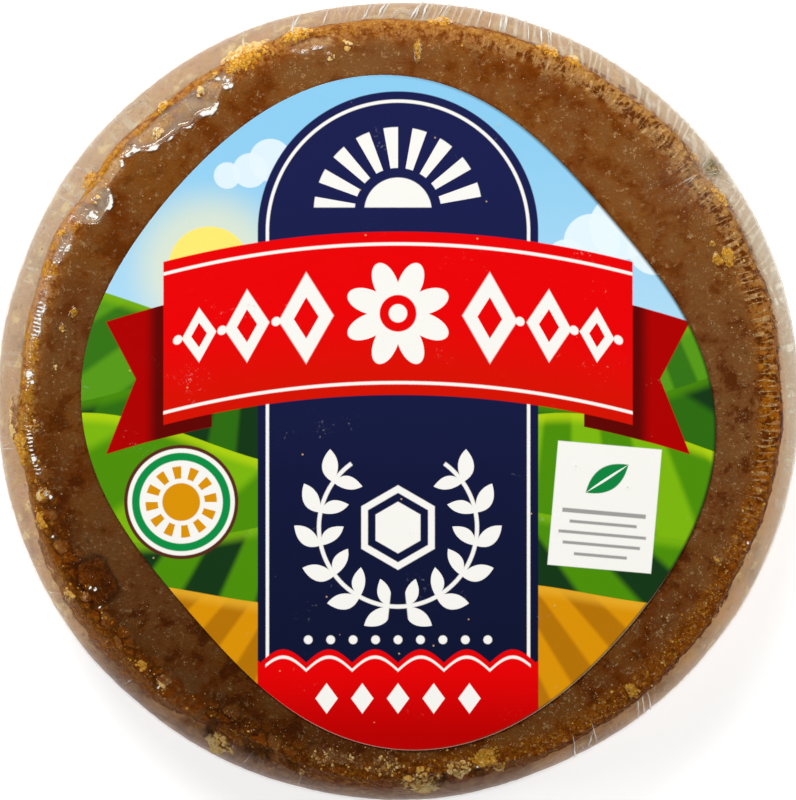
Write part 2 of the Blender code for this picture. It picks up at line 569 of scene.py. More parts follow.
def noise_at(places):
    """Smooth noise from -1 to 1, with features about 1 across."""
    flat = places.reshape(-1, 3)
    found = np.fromiter((noise.noise(Vector(p)) for p in flat), float, len(flat))
    return found.reshape(places.shape[:-1])


def lumps_at(places):
    """1 in the middle of rounded lumps about 1 across and 0 between them."""
    flat = places.reshape(-1, 3)
    found = np.fromiter((noise.voronoi(Vector(p))[0][0] for p in flat), float, len(flat))
    return 1 - np.clip(found, 0, 1).reshape(places.shape[:-1])


class Surface:
    """Rings and sectors of the wrapped block, following the frame's outline."""

    def __init__(self, points, sectors, inside=0.0):
        self.azimuth = np.linspace(0, math.tau, sectors, endpoint=False)[None, :]
        along = np.gradient(points, axis=0)
        along /= np.maximum(np.linalg.norm(along, axis=1, keepdims=True), 1e-9)
        self.normal = np.stack([-along[:, 1], along[:, 0]], axis=1)
        steps = np.linalg.norm(np.diff(points, axis=0), axis=1)
        length = np.concatenate([[0], np.cumsum(steps)])
        length -= np.interp(FACE_EDGE, points[points[:, 1] == HEIGHT][:, 0], length[points[:, 1] == HEIGHT])
        flat = np.ones((1, sectors))
        self.past_rim = (length[:, None] - RIM_ROUND * RIM_TURN / 2) / MM * flat
        self.radius = points[:, :1] * flat
        self.height = points[:, 1:] * flat
        self.free = (points[:, 1:] > 0.5 * MM) & (points[:, :1] > 0)
        self.follow_frame(points)
        self.push(-inside, rest=True)

    def follow_frame(self, points):
        """Take the frame's uneven rim and side and its chips."""
        from_rim = np.hypot(points[:, :1] - RIM_RADIUS, points[:, 1:] - (HEIGHT - RIM_ROUND))
        chip = sum(depth * MM * near(self.azimuth, middle, width) for middle, width, depth in CHIPS)
        chip = chip * np.exp(-((from_rim / CHIP_REACH) ** 2))
        move = waves_at(RIM_WAVES, self.azimuth) * np.exp(-((from_rim / WAVE_REACH) ** 2)) - chip
        up_side = np.sin(math.pi * points[:, 1:] / HEIGHT)
        move = move + np.minimum(waves_at(SIDE_WAVES, self.azimuth), 0) * up_side
        self.radius = np.minimum(self.radius + move * self.free, WIDEST_RADIUS)
        self.height = self.height - CHIP_DROP * chip * self.free * (points[:, 1:] / HEIGHT)

    def push(self, amount, rest=False):
        """Move the surface outwards along its normal; the part that rests on the table stays, unless told."""
        free = 1.0 if rest else self.free
        self.radius = np.maximum(self.radius + amount * self.normal[:, :1] * free, 0) * (self.radius > 0)
        self.height = self.height + amount * self.normal[:, 1:] * free

    def places(self):
        """Every point, kept inside the frame's box."""
        x = np.clip(self.radius * np.cos(self.azimuth), BLOCK_LOW.x, BLOCK_HIGH.x)
        y = np.clip(self.radius * np.sin(self.azimuth), BLOCK_LOW.y, BLOCK_HIGH.y)
        return np.stack([x, y, np.clip(self.height, 0, LABEL_HIGH.z)], axis=-1)

    def grains(self, size, seed=0.0):
        """Places scaled so that noise on them has features size millimetres across."""
        return self.places() / (size * MM) + seed

    def strokes(self, pitch, length, lean=0.0, seed=0.0):
        """Places on which noise makes strokes that run in from the rim, pitch apart and length long."""
        turn = self.azimuth - lean * self.past_rim * MM / RIM_RADIUS
        round_rim = RIM_RADIUS / MM / pitch
        parts = (np.cos(turn) * round_rim, np.sin(turn) * round_rim, self.past_rim / length + seed)
        return np.stack(parts, axis=-1)

    def away_from(self, azimuth, radius):
        """Millimetres round and outwards from a place seen from above, on the upper half of the block."""
        turn = np.angle(np.exp(1j * (self.azimuth - math.radians(azimuth))))
        under = 50.0 * (self.past_rim > 14)
        return turn * RIM_RADIUS / MM * np.ones_like(self.past_rim), self.radius / MM - radius + under

    def hollowed(self, table, column, jitter):
        """Depth in metres of the table's hollows, from that column of it."""
        depth = np.zeros_like(self.past_rim)
        for hollow in table:
            azimuth, half_width, inner, outer = hollow[:4]
            apart = np.degrees(np.angle(np.exp(1j * (self.azimuth - math.radians(azimuth)))))
            span = np.exp(-((apart / half_width) ** 4))
            inner = inner * (0.35 + 0.65 * span) + 0.8 * jitter
            outer = outer + 0.9 * np.roll(jitter, jitter.shape[1] // 7, axis=1)
            reach = ease(self.past_rim, inner, inner + 0.8)
            reach = reach * (1 - ease(self.past_rim, outer - 0.5, outer + 0.7))
            depth = np.maximum(depth, hollow[column] * MM * reach * span)
        return depth

    def clumped(self, ragged=0.0):
        """How much of a lump lies here, how golden it is and how pale."""
        cover, gold, cream = (np.zeros_like(self.past_rim) for _ in range(3))
        for azimuth, radius, half_length, half_width, golden, pale, _, _ in CLUMPS:
            turn, out = self.away_from(azimuth, radius)
            span = np.sqrt((turn / half_length) ** 2 + (out / half_width) ** 2)
            here = 1 - ease(span + ragged, 0.55, 1.35)
            cover = np.maximum(cover, here)
            gold = np.maximum(gold, here * golden)
            cream = np.maximum(cream, here * pale * ease(out / half_width + 0.5 * ragged, -0.1, 0.5))
        return cover, gold, cream


def show(name, mesh, material, slot, *nodes):
    """Put a finished mesh in the scene, on the body, with its material; slot is not used."""
    piece = bpy.data.objects.new(name, mesh)
    bpy.context.scene.collection.objects.link(piece)
    mesh.materials.clear()
    mesh.materials.append(material)
    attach(piece, BODY)
    for node in nodes:
        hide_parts(node)
    return piece


# ---------------------------------------------------------------- the sugar


@functools.lru_cache(maxsize=1)
def block_surface(film_gap, rim_break, pit_depth):
    """The sugar's surface under the film, with the numbers that its colour follows."""
    rings = ring_steps((0, 54, 9), (54, 61, 1.4), (61, FACE_EDGE / MM, 0.28))
    sugar = Surface(profile(rings, 10, 26, 7), BLOCK_SECTORS, film_gap)
    s, azimuth = sugar.past_rim, sugar.azimuth
    cloud = noise_at(sugar.grains(7.0))
    coarse = noise_at(sugar.grains(2.6, 40))
    lumps = lumps_at(sugar.grains(1.5, 11))
    fine = lumps_at(sugar.grains(0.62, 23))

    low = np.clip(along_rim(azimuth, CRUMBLED), 0, 1)
    crumbly = bell(s, -0.6, 1.4) * (0.4 + 0.5 * coarse) + low * bell(s, -1.6, 3.0) * (0.65 + 0.8 * coarse)
    crumbly = np.clip(crumbly + low * 0.5 * bell(s, 1.8, 2.0), 0, 1.2)
    broken = crumbly * (0.75 - 0.9 * lumps - 0.35 * fine)

    hollow = sugar.hollowed(HOLLOWS, SUGAR_DEPTH, noise_at(sugar.strokes(3.0, 40.0, seed=5.0)))
    cleft = sugar.hollowed(CLEFTS, SUGAR_DEPTH, 1.6 * coarse + 0.5 * (lumps - 0.5))
    cover, gold, cream = sugar.clumped(0.5 * coarse + 0.6 * (0.5 - lumps))
    sugar.push(-rim_break * np.clip(broken, -0.25, 1.0) * (s < 9))
    sugar.push(-hollow * np.clip(0.72 + 0.55 * coarse - 0.35 * lumps, 0.2, 1.3))
    sugar.push(-cleft)
    sugar.push(cover * (0.15 + 0.45 * lumps + 0.30 * fine) * MM)

    folds = 1 - 2.4 * np.abs(noise_at(sugar.strokes(1.2, 3.4, 0.1, seed=9.0)))
    pleated = along_rim(azimuth, PLEATED)
    sugar.push(folds * pleated * bell(s, -2.0, 1.9) * 0.16 * MM)

    turn, out = sugar.away_from(210.9, 68.9)
    nodule = np.exp(-((turn / 4.6) ** 4) - (out / 3.0) ** 4)
    sugar.push(nodule * 0.35 * MM * (0.3 + 1.2 * lumps))
    turn, out = sugar.away_from(234.3, 71.2)
    chunk = np.exp(-((turn / 5.6) ** 6) - (out / 5.4) ** 6)
    sugar.push(chunk * 0.34 * MM)

    face = ease(-s, 1.0, 3.5)
    pits = ease(lumps_at(sugar.grains(3.4, 71)), 0.84, 0.95) * face
    sugar.push(-pits * pit_depth)
    sugar.push((cloud * 0.10 + coarse * 0.07 + (fine - 0.5) * 0.05) * MM * face)

    side = ease(s, 0.6, 1.6)
    scabs = ease(coarse + 0.4 * cloud, 0.25, 0.55)
    sugar.push(side * (0.10 * coarse - 0.12 * scabs) * MM)

    round_block = np.ones_like(s)
    # Painted light: lit is the brightness that the face's colour is scaled by, higher toward the key light
    # near the top, lower away from it, with a darker patch near 250 degrees.
    outward = ease(s, -6.5, -0.5)
    lit = 0.535 + 0.27 * outward + (0.21 + 0.07 * outward) * np.cos(azimuth - np.radians(75 + 25 * outward))
    lit = lit - 0.06 * near(azimuth, 250, 22)
    turn, out = sugar.away_from(*KNOT_SHADE)
    olive = np.exp(-((turn / 2.2) ** 2) - (out / 2.2) ** 2)
    colour = {
        "past_rim": s,
        "cover": cover,
        "gold": gold,
        "cream": cream,
        "hollow": np.clip(hollow / (1.0 * MM), 0, 1),
        "cleft": np.clip(cleft / (1.1 * MM), 0, 1),
        "pit": pits,
        "pleated": np.clip(pleated, 0, 1) * round_block,
        "nodule": nodule,
        "chunk": chunk,
        "low": low * round_block,
        "burnt": np.clip(along_rim(azimuth, BROWN_AND_SHADED), 0, 1) * round_block,
        "olive": olive,
        "lumpy": np.clip(along_rim(azimuth, LUMPY), 0, 1) * bell(s, -2.5, 3.3) * 0.95,
        "spread": (LEAST_SPREAD + along_rim(azimuth, SPREAD)) * round_block,
        "lit": lit,
        "misted": np.clip(along_rim(azimuth, MISTED_AND_SHEEN), 0.15, 1) * (1 - 0.75 * outward),
        # Painted light in part: bright is high toward the key light, where the face's colours are made paler,
        # tanner and less dark.
        "bright": ease(np.cos(azimuth - math.radians(100)), -0.20, 0.45) * round_block,
        "left": np.clip(near(azimuth, 162, 44), 0, 1) * round_block,
        "calm": near(azimuth, 34, 52) * round_block,
    }
    return sugar, colour


def current_block(context):
    sizes = context.scene.panela_sizes
    return block_surface(sizes.film_gap, sizes.rim_break, sizes.pit_depth)


def round_strokes(tree, place, x, y, z, pitch, length, curl):
    """Noise in curling strokes that run in from the rim, pitch apart and length long, in millimetres."""
    radius = (x * x + y * y) ** 0.5
    turn = RIM_RADIUS / MM / pitch / radius
    lines = add_node(
        tree, "ShaderNodeCombineXYZ", values={0: x * turn, 1: y * turn, 2: (radius - z * 0.5) / length}
    )
    return swirled(lines, place, pitch * 2.2 * MM, curl)


def thrown(place, size, detail):
    """A random vector, from 0 to 1 in each axis, that changes smoothly over about size."""
    values = {"Vector": place, "Scale": 1 / size, "Detail": detail}
    return add_node(place.tree, "ShaderNodeTexNoise", values=values, output=1)


def swirled(lines, place, size, curl):
    """Noise on lines, whose places are thrown about by coarser noise."""
    tree = place.tree
    throw = thrown(place, size, 1.0)
    centred = vector_maths(tree, "SUBTRACT", {0: throw, 1: (0.5, 0.5, 0.5)})
    moved = vector_maths(tree, "MULTIPLY_ADD", {0: centred, 1: (curl,) * 3, 2: lines})
    return add_node(tree, "ShaderNodeTexNoise", values={"Vector": moved, "Scale": 1.0, "Detail": 2.0})


def crust(place, size):
    """A random number for each clod about size across, and 1 in the cracks between clods."""
    tree = place.tree
    throw = thrown(place, size / 1.3, 2.0)
    moved = vector_maths(tree, "MULTIPLY_ADD", {0: throw, 1: (0.9 * size,) * 3, 2: place})
    tone = add_node(tree, "ShaderNodeSeparateXYZ", values={0: cells(moved, size, output=1)})
    return tone, 1 - cells(moved, size, "DISTANCE_TO_EDGE").rise(0.02, 0.20)


def scaled(colour, factor):
    return vector_maths(colour.tree, "SCALE", {0: colour, 3: factor})


def dimmed(colour, share):
    return tuple(part * share for part in colour)


def bell_of(value, middle, half_width):
    """1 at the middle, falling smoothly to 0 past half_width."""
    return within(abs(value - middle), half_width * 0.8, half_width * 0.6)


def sugar_face(tree, place, streaks, ragged, colours):
    """The face and the toasted rim, as bright as at the top of the block, before the painted light darkens
    them elsewhere.
    """
    # Where bright is high, toward the key light, the colours below are made paler and less dark: partly
    # painted light.
    low, left, misted, bright = (attribute(tree, name) for name in ("low", "left", "misted", "bright"))
    past_rim = attribute(tree, "past_rim")
    cloud = speckle(place, 12 * MM, 3, 0.5)
    patch = speckle(place, 4.5 * MM, 4, 0.6)
    mottle = speckle(place, 1.6 * MM, 4, 0.65)
    fine = speckle(place, 0.5 * MM, 3, 0.6)
    grain = (mottle * 0.55 + fine * 0.45).rise(0.42, 0.60)
    _, seam = crust(place, 0.9 * MM)
    flecks = speckle(place, 0.75 * MM, 3, 0.7).rise(0.57, 0.64)
    flecks = flecks * (mottle * 0.6 + patch * 0.4).rise(0.45, 0.56)

    face = blend((cloud * 0.6 + patch * 0.4).rise(0.42, 0.58), colours.rust, colours.brown)
    # Purple-brown patches where slack film lies over the sugar: partly painted film sheen.
    face = blend((misted + (patch - 0.5) * 2.8).held() * 0.75, face, colours.mauve_and_sheen)
    face = blend((1 - patch).rise(0.52, 0.64) * (0.8 - bright * 0.5), face, colours.dark)
    spots = speckle(place, 1.5 * MM, 4, 0.7).rise(0.60, 0.68) * (1 - patch).rise(0.42, 0.56)
    face = blend(spots * 0.45, face, colours.speck)
    face = blend(mottle.rise(0.57, 0.70) * 0.3, face, colours.tan)
    face = blend(flecks * (0.40 + low * 0.2 + bell_of(past_rim, -6.0, 3.5) * 0.35), face, colours.speck)
    # Painted shade: the pits are darkened.
    face = blend(attribute(tree, "pit") * 0.4, face, colours.dark)

    toasted = blend(mottle.rise(0.40, 0.62), colours.rust, colours.amber)
    toasted = blend(bright * grain * 0.45, toasted, colours.tan)
    # Painted shade: small hollows and cracks in the toasted rim are darkened, less toward the key light.
    painted_dent_shade = seam * 0.35 + (1 - fine).rise(0.53, 0.63) * 0.55 + (1 - mottle).rise(0.54, 0.64) * 0.5
    toasted = blend(painted_dent_shade.held() * (1 - bright * 0.45), toasted, colours.dark)
    glow = speckle(place, 0.9 * MM, 3, 0.7).rise(0.57, 0.65)
    toasted = blend(glow * (0.7 - bright * 0.35), toasted, colours.golden)
    toasted = blend(flecks * (0.2 + low * 0.55), toasted, colours.speck)
    face = blend(ragged.rise(-5.0, -2.4) * 0.9, face, toasted)

    warm = blend(bright * 0.75, colours.amber, dimmed(colours.tan, 0.72))
    deep = blend(mottle.rise(0.42, 0.58), colours.dark, warm)
    ridge = blend(fine.rise(0.46, 0.60) * 0.4, colours.tan, colours.cream)
    deep = blend(glow * (0.5 - bright * 0.4), deep, colours.golden)
    pleat = blend(streaks * (0.55 + grain * 0.45), deep, ridge)
    face = blend(ragged.rise(-4.6, -2.8) * attribute(tree, "pleated"), face, pleat)
    band = blend(grain * 0.7 + 0.3, colours.amber, colours.golden)
    band = blend(seam * 0.4, band, colours.rust)
    band = blend(left * bright.rise(0.7, 1.0) * (1 - patch).rise(0.46, 0.56) * 0.7, band, colours.blush)
    toned = (patch * 0.4 + mottle * 0.6).rise(0.38, 0.52) * 0.65 + 0.35
    rim_band = (ragged + left * 1.3).rise(-1.9, -0.9) * (bright * 0.25 + left * 0.8) * toned
    face = blend(rim_band, face, band)

    mist = blend(patch.rise(0.40, 0.60), colours.mist, colours.tan)
    mist = blend((cloud * 0.4 + mottle * 0.6).rise(0.53, 0.64) * 0.75, mist, colours.rust)
    mist = blend(flecks * 0.8, mist, colours.cream)
    bridged = (attribute(tree, "hollow") * (0.3 + mottle * 1.4)).rise(0.15, 0.55)
    face = blend(bridged * 0.92, face, mist)
    clod, gap = crust(place, 2.8 * MM)
    clods = blend(clod.rise(0.0, 0.6), colours.dark, colours.rust)
    clods = blend(fine.rise(0.50, 0.62) * 0.5, clods, colours.amber)
    clods = blend(clod.rise(0.60, 0.85) * mottle.rise(0.40, 0.56) * 0.8, clods, colours.mauve_and_sheen)
    clods = blend(flecks * 0.5, clods, colours.golden)
    # Painted shade: the cracks between clods are darkened.
    clods = blend(gap * 0.85, clods, dimmed(colours.dark, 0.25))
    face = blend(attribute(tree, "lumpy") * (patch * 0.7 + mottle * 0.3).rise(0.32, 0.48), face, clods)

    chunk = (attribute(tree, "chunk") + (patch - 0.5) * 0.9 + (mottle - 0.5) * 0.5).held()
    dull = blend((patch * 0.5 + mottle * 0.5).rise(0.44, 0.56), colours.rust, colours.mauve_and_sheen)
    face = blend(chunk.rise(0.4, 0.7) * 0.55, face, dull)
    nodule = (attribute(tree, "nodule") + (mottle - 0.5) * 0.5).held()
    glazed = blend((mottle * 0.6 + fine * 0.4).rise(0.44, 0.60), dimmed(colours.dark, 0.8), colours.rust)
    glazed = blend(flecks * 0.35, glazed, colours.golden)
    # Painted shadow: a dark ring round the nodule.
    face = blend(bell_of(nodule, 0.30, 0.22) * 0.7, face, dimmed(colours.dark, 0.35))
    return blend(nodule.rise(0.3, 0.6) * 0.9, face, glazed)


def sugar_side(tree, place, colours):
    """The pale, dry side that was cast against the mould, and its darker brown stretches, partly painted
    shade on the lower side.
    """
    tall = vector_maths(tree, "MULTIPLY", {0: place, 1: (1, 1, 0.5)})
    drift = speckle(tall, 8 * MM, 3, 0.55)
    patch = speckle(tall, 2.8 * MM, 4, 0.6)
    mottle = speckle(tall, 1.1 * MM, 3, 0.6)
    cast = blend(drift.rise(0.38, 0.62), colours.cast, colours.pale)
    cast = blend(patch.rise(0.53, 0.63) * drift.rise(0.44, 0.58) * 0.7, cast, colours.cream)
    cast = blend((1 - patch).rise(0.51, 0.62) * 0.8, cast, colours.blush)
    cast = blend(mottle.rise(0.56, 0.66) * 0.6, cast, colours.tan)
    cast = blend((1 - mottle).rise(0.56, 0.68) * 0.6, cast, colours.mauve_and_sheen)
    cast = blend(attribute(tree, "calm") * 0.7, cast, colours.pale)
    # Painted shade: darker copies of the brown and the purple-brown for the stretches of the lower side.
    shaded_brown, shaded_purple_grey = dimmed(colours.brown, 0.4), dimmed(colours.mauve_and_sheen, 0.7)
    brown_and_shaded_side = blend((patch * 0.6 + mottle * 0.4).rise(0.42, 0.60), shaded_brown, shaded_purple_grey)
    side = blend((attribute(tree, "burnt") * 1.4 + (drift - 0.5) * 1.6).held(), cast, brown_and_shaded_side)
    return blend((attribute(tree, "olive") * mottle.rise(0.36, 0.50) * 1.5).held(), side, colours.olive)


def with_lumps(tree, place, colour, lit, colours):
    """Colour with the rim's rough and golden lumps, and their pale outer sides, laid over it."""
    mottle = speckle(place, 1.2 * MM, 4, 0.65)
    fine = speckle(place, 0.5 * MM, 3, 0.6)
    scale, seam = crust(place, 0.8 * MM)
    rough_lump = blend(scale, colours.rust, colours.tan)
    rough_lump = blend(seam * 0.6, rough_lump, colours.dark)
    honey = blend((mottle * 0.6 + fine * 0.4).rise(0.37, 0.52), colours.amber, colours.golden)
    honey = blend(fine.rise(0.54, 0.64) * 0.4, honey, colours.cream)
    honey = blend(seam * 0.35, honey, colours.rust)
    crumb = blend((scale * 0.4 + mottle * 0.6).rise(0.28, 0.52), colours.golden, colours.cream)
    crumb = blend(seam * 0.3, crumb, colours.amber)
    for name, laid, share in (("cover", rough_lump, 0.0), ("gold", honey, 0.06), ("cream", crumb, 0.22)):
        amount = attribute(tree, name)
        uneven = amount + (mottle - 0.5) * 1.8 + (fine - 0.5) * 0.8
        mask = uneven.rise(0.36, 0.60) * amount.rise(0.0, 0.2)
        # Painted light: each laid colour is scaled by lit, as the face is.
        colour = blend(mask, colour, scaled(laid, share + lit * (1 - share)))
    return colour


def round_pleats(tree, place, x, y, z):
    """Tan strokes that run in from the rim, unevenly spaced and of uneven length."""
    wander = round_strokes(tree, place, x, y, z, 2.6, 9.0, 0.6)
    own = round_strokes(tree, place, x, y, z, 1.0, 26.0, 0.4)
    fine = speckle(place, 0.7 * MM, 2, 0.5)
    phase = x.maths("ARCTAN2", y, x) * STROKES_ROUND + wander * 24.0 + fine * 2.2
    along = attribute(tree, "past_rim") + (own - 0.5) * 9.0 + (fine - 0.5) * 2.0
    line = phase.sine().rise(0.05, 0.85) * (0.45 + own.rise(0.40, 0.58) * 0.55)
    return line * along.rise(-3.9, -2.7) * (1 - along.rise(-0.6, 0.8))


def sugar_material(colours):
    """Dense brown sugar with specks, a ragged amber rim and a dry, pale side."""
    material, tree = new_material("panela_sugar")
    place, (x, y, z) = own_place(tree)
    lit, low, bright, left = (attribute(tree, name) for name in ("lit", "low", "bright", "left"))
    mottle = speckle(place, 1.6 * MM, 4, 0.65)
    fine = speckle(place, 0.5 * MM, 3, 0.6)
    patch = speckle(place, 3.4 * MM, 4, 0.6)
    strokes = round_strokes(tree, place, x, y, z, 0.80, 3.4, 1.1)
    streaks = round_pleats(tree, place, x, y, z)
    jagged = (mottle - 0.5) * (2.0 + low * 2.6) + (fine - 0.5) * 1.4
    jagged = jagged + (strokes - 0.5) * 1.6 + (patch - 0.5) * 2.2
    ragged = attribute(tree, "past_rim") + jagged
    reach = ragged - attribute(tree, "spread") * (patch * 3.0 - 0.6)
    reach = reach - left * ((mottle - 0.5) * 5.0 + (fine - 0.5) * 4.0)

    face = sugar_face(tree, place, streaks, ragged, colours)
    # Painted shade: a dark line where the face turns down over the rim, weaker toward the key light.
    rim_edge_shade = reach.rise(-0.7, 0.1)
    face = blend(rim_edge_shade * (0.35 + low * 0.3 - bright * 0.25), face, colours.dark)
    # Painted light: the face's colour is scaled brighter toward the key light and darker away from it.
    face = scaled(face, lit)
    # Painted shade: the side is darkened toward the key light, less so lower down the side.
    side = scaled(sugar_side(tree, place, colours), 1 - bright * (0.24 - ragged.rise(2.0, 5.5) * 0.13))
    colour = blend(reach.rise(0.2, 0.8), face, side)
    colour = with_lumps(tree, place, colour, lit, colours)
    # Painted shadow: the clefts are darkened with their depth.
    depth = attribute(tree, "cleft") + (mottle - 0.5) * 1.8 + (patch - 0.5) * 1.2
    shadow = blend(patch.rise(0.44, 0.58), colours.cleft_shadow, dimmed(colours.brown, 0.35))
    colour = blend(depth.rise(0.30, 0.95) * 0.85, colour, shadow)

    _, seam = crust(place, 0.8 * MM)
    height = fine * 0.30 + mottle * 0.45 + streaks * attribute(tree, "pleated") * 0.5 - seam * 0.2
    rough = 0.46 + ragged.rise(0.5, 1.5) * 0.2 + attribute(tree, "gold") * 0.15
    rough = rough - attribute(tree, "nodule") * 0.24
    finish_solid(tree, colour, rough, 0.03, bump(height, 0.8, 0.5 * MM))
    return material


class PANELA_OT_block(bpy.types.Operator):
    """Make the block of sugar with its broken rim"""

    bl_idname = "panela.block"
    bl_label = "Sugar block"

    def execute(self, context):
        sugar, colour = current_block(context)
        mesh = ring_mesh("panela_block", sugar.places())
        for name, values in colour.items():
            write_attribute(mesh, name, values)
        show("panela_block", mesh, sugar_material(context.scene.panela_colours), "panela", "panela_in_film")
        return {"FINISHED"}


# ---------------------------------------------------------------- crumbs and grains


def geometry_tree(name, start, sizes, made):
    """Nodes that take the start, the named sizes and a finish, and the wrapped sockets of these."""
    tree = bpy.data.node_groups.new(name, "GeometryNodeTree")
    tree.interface.new_socket(start, in_out="INPUT", socket_type="NodeSocketGeometry")
    for label, default in sizes:
        socket = tree.interface.new_socket(label, in_out="INPUT", socket_type="NodeSocketFloat")
        socket.default_value = default
    tree.interface.new_socket("Finish", in_out="INPUT", socket_type="NodeSocketMaterial")
    tree.interface.new_socket(made, in_out="OUTPUT", socket_type="NodeSocketGeometry")
    group = tree.nodes.new("NodeGroupInput")
    return tree, [Shade(tree, group.outputs[i]) for i in range(len(sizes) + 2)]


def finish_geometry(tree, solid, finish):
    """Give the solid its finish and end the tree."""
    made = add_node(tree, "GeometryNodeSetMaterial", values={"Geometry": solid, "Material": finish})
    out = tree.nodes.new("NodeGroupOutput")
    tree.links.new(made.socket, out.inputs[0])


def random_vector(tree, least, most, seed):
    """A random vector for each point, each of its parts between least and most."""
    values = {0: (least,) * 3, 1: (most,) * 3, "Seed": seed}
    return add_node(tree, "FunctionNodeRandomValue", {"data_type": "FLOAT_VECTOR"}, values)


def named_number(tree, name):
    return add_node(tree, "GeometryNodeInputNamedAttribute", {"data_type": "FLOAT"}, {"Name": name})


def scatter_tree(name, subdivisions, seed):
    """Nodes that set one of four uneven lumps on each point, in its own size and turn."""
    sizes = (("Size", 0.5 * MM), ("Unevenness", 0.5))
    tree, (points, size, uneven, finish) = geometry_tree(name, "Points", sizes, "Lumps")

    kinds = tree.nodes.new("GeometryNodeGeometryToInstance")
    for kind in range(4):
        values = {"Radius": 1.0, "Subdivisions": subdivisions}
        ball = add_node(tree, "GeometryNodeMeshIcoSphere", values=values)
        spot = add_node(tree, "GeometryNodeInputPosition")
        moved = vector_maths(tree, "ADD", {0: spot, 1: (7.0 * kind, 0, 0)})
        lump = add_node(tree, "ShaderNodeTexNoise", values={"Vector": moved, "Scale": 0.9, "Detail": 2.0})
        stretch = 1.0 + (lump - 0.5) * 2.4 * uneven
        offset = scaled(spot, stretch)
        shaped = add_node(tree, "GeometryNodeSetPosition", values={"Geometry": ball, "Position": offset})
        tree.links.new(shaped.socket, kinds.inputs[0])

    picks = {"Min": 0, "Max": 3, "Seed": seed}
    values = {
        "Points": points,
        "Instance": Shade(tree, kinds.outputs[0]),
        "Pick Instance": True,
        "Instance Index": add_node(tree, "FunctionNodeRandomValue", {"data_type": "INT"}, picks, output=2),
        "Rotation": random_vector(tree, 0.0, math.tau, seed + 1),
        "Scale": scaled(random_vector(tree, 0.6, 1.1, seed + 2), named_number(tree, "size") * size),
    }
    placed = add_node(tree, "GeometryNodeInstanceOnPoints", values=values)
    solid = add_node(tree, "GeometryNodeRealizeInstances", values={"Geometry": placed})
    finish_geometry(tree, solid, finish)
    return tree


def grow(name, start, tree, values):
    """What the nodes make of the starting mesh, as a plain mesh."""
    holder = bpy.data.objects.new(name + "_start", start)
    bpy.context.scene.collection.objects.link(holder)
    modifier = holder.modifiers.new(name, "NODES")
    modifier.node_group = tree
    for item in tree.interface.items_tree:
        if item.in_out == "INPUT" and item.name in values:
            modifier[item.identifier] = values[item.name]
    graph = bpy.context.evaluated_depsgraph_get()
    mesh = bpy.data.meshes.new_from_object(holder.evaluated_get(graph))
    holder.modifiers.remove(modifier)
    bpy.data.objects.remove(holder, do_unlink=True)
    mesh.name = name
    return mesh


def start_mesh(name, places, edges, numbers):
    """Points and edges that carry numbers, for nodes to work on."""
    mesh = bpy.data.meshes.new(name + "_start")
    mesh.from_pydata(places, edges, [])
    for label, values in numbers.items():
        mesh.attributes.new(label, "FLOAT", "POINT").data.foreach_set("value", values.astype(np.float32))
    return mesh


def scatter(name, places, sizes, tones, tree, material, size, unevenness):
    """A plain mesh of lumps at places, with each lump's tone kept as an attribute."""
    start = start_mesh(name, places, [], {"size": sizes, "tone": tones})
    return grow(name, start, tree, {"Size": size, "Unevenness": unevenness, "Finish": material})


def seats(draw, sugar, azimuths, radii, sizes):
    """Places for lumps of these sizes, just under the film.

    Azimuths are in degrees and radii in millimetres.
    """
    places = sugar.places()
    sectors = np.round(np.radians(azimuths) / math.tau * places.shape[1]).astype(int) % places.shape[1]
    ring_radii = np.hypot(places[..., 0], places[..., 1]) / MM
    face = sugar.past_rim[:, 0] < 12
    rings = np.array([np.argmin(np.abs(ring_radii[face, s] - r)) for s, r in zip(sectors, radii)])
    found = places[face][rings, sectors] + draw.normal(0, 0.06 * MM, (len(radii), 3))
    turn = np.radians(azimuths)
    out, up = sugar.normal[face][rings].T
    sunk = np.maximum(0.9 * sizes - 0.30 * MM, 0)
    found -= sunk[:, None] * np.stack([out * np.cos(turn), out * np.sin(turn), up], axis=1)
    found[:, 2] = np.minimum(found[:, 2], HEIGHT - 0.9 * sizes)
    return found


def crumb_material(name, stops):
    """Dry crumbs, each of its own tone, from the first of the stops to the last."""
    material, tree = new_material(name)
    place, (x, y, _) = own_place(tree)
    fine = speckle(place, 0.45 * MM, 2)
    tone = (attribute(tree, "tone") * 0.85 + fine * 0.5 - 0.2).held()
    ramp = [(i / (len(stops) - 1), stop) for i, stop in enumerate(stops)]
    colour = add_node(tree, "ShaderNodeValToRGB", {"stops": ramp}, {"Fac": tone})
    # Painted light: each crumb is brighter on the side toward the key light.
    toward_light = (y * 0.98 - x * 0.17) / (x * x + y * y) ** 0.5
    colour = scaled(colour, 0.76 + 0.24 * toward_light)
    finish_solid(tree, colour, 0.5, 0.12, bump(fine, 0.5, 0.2 * MM))
    return material


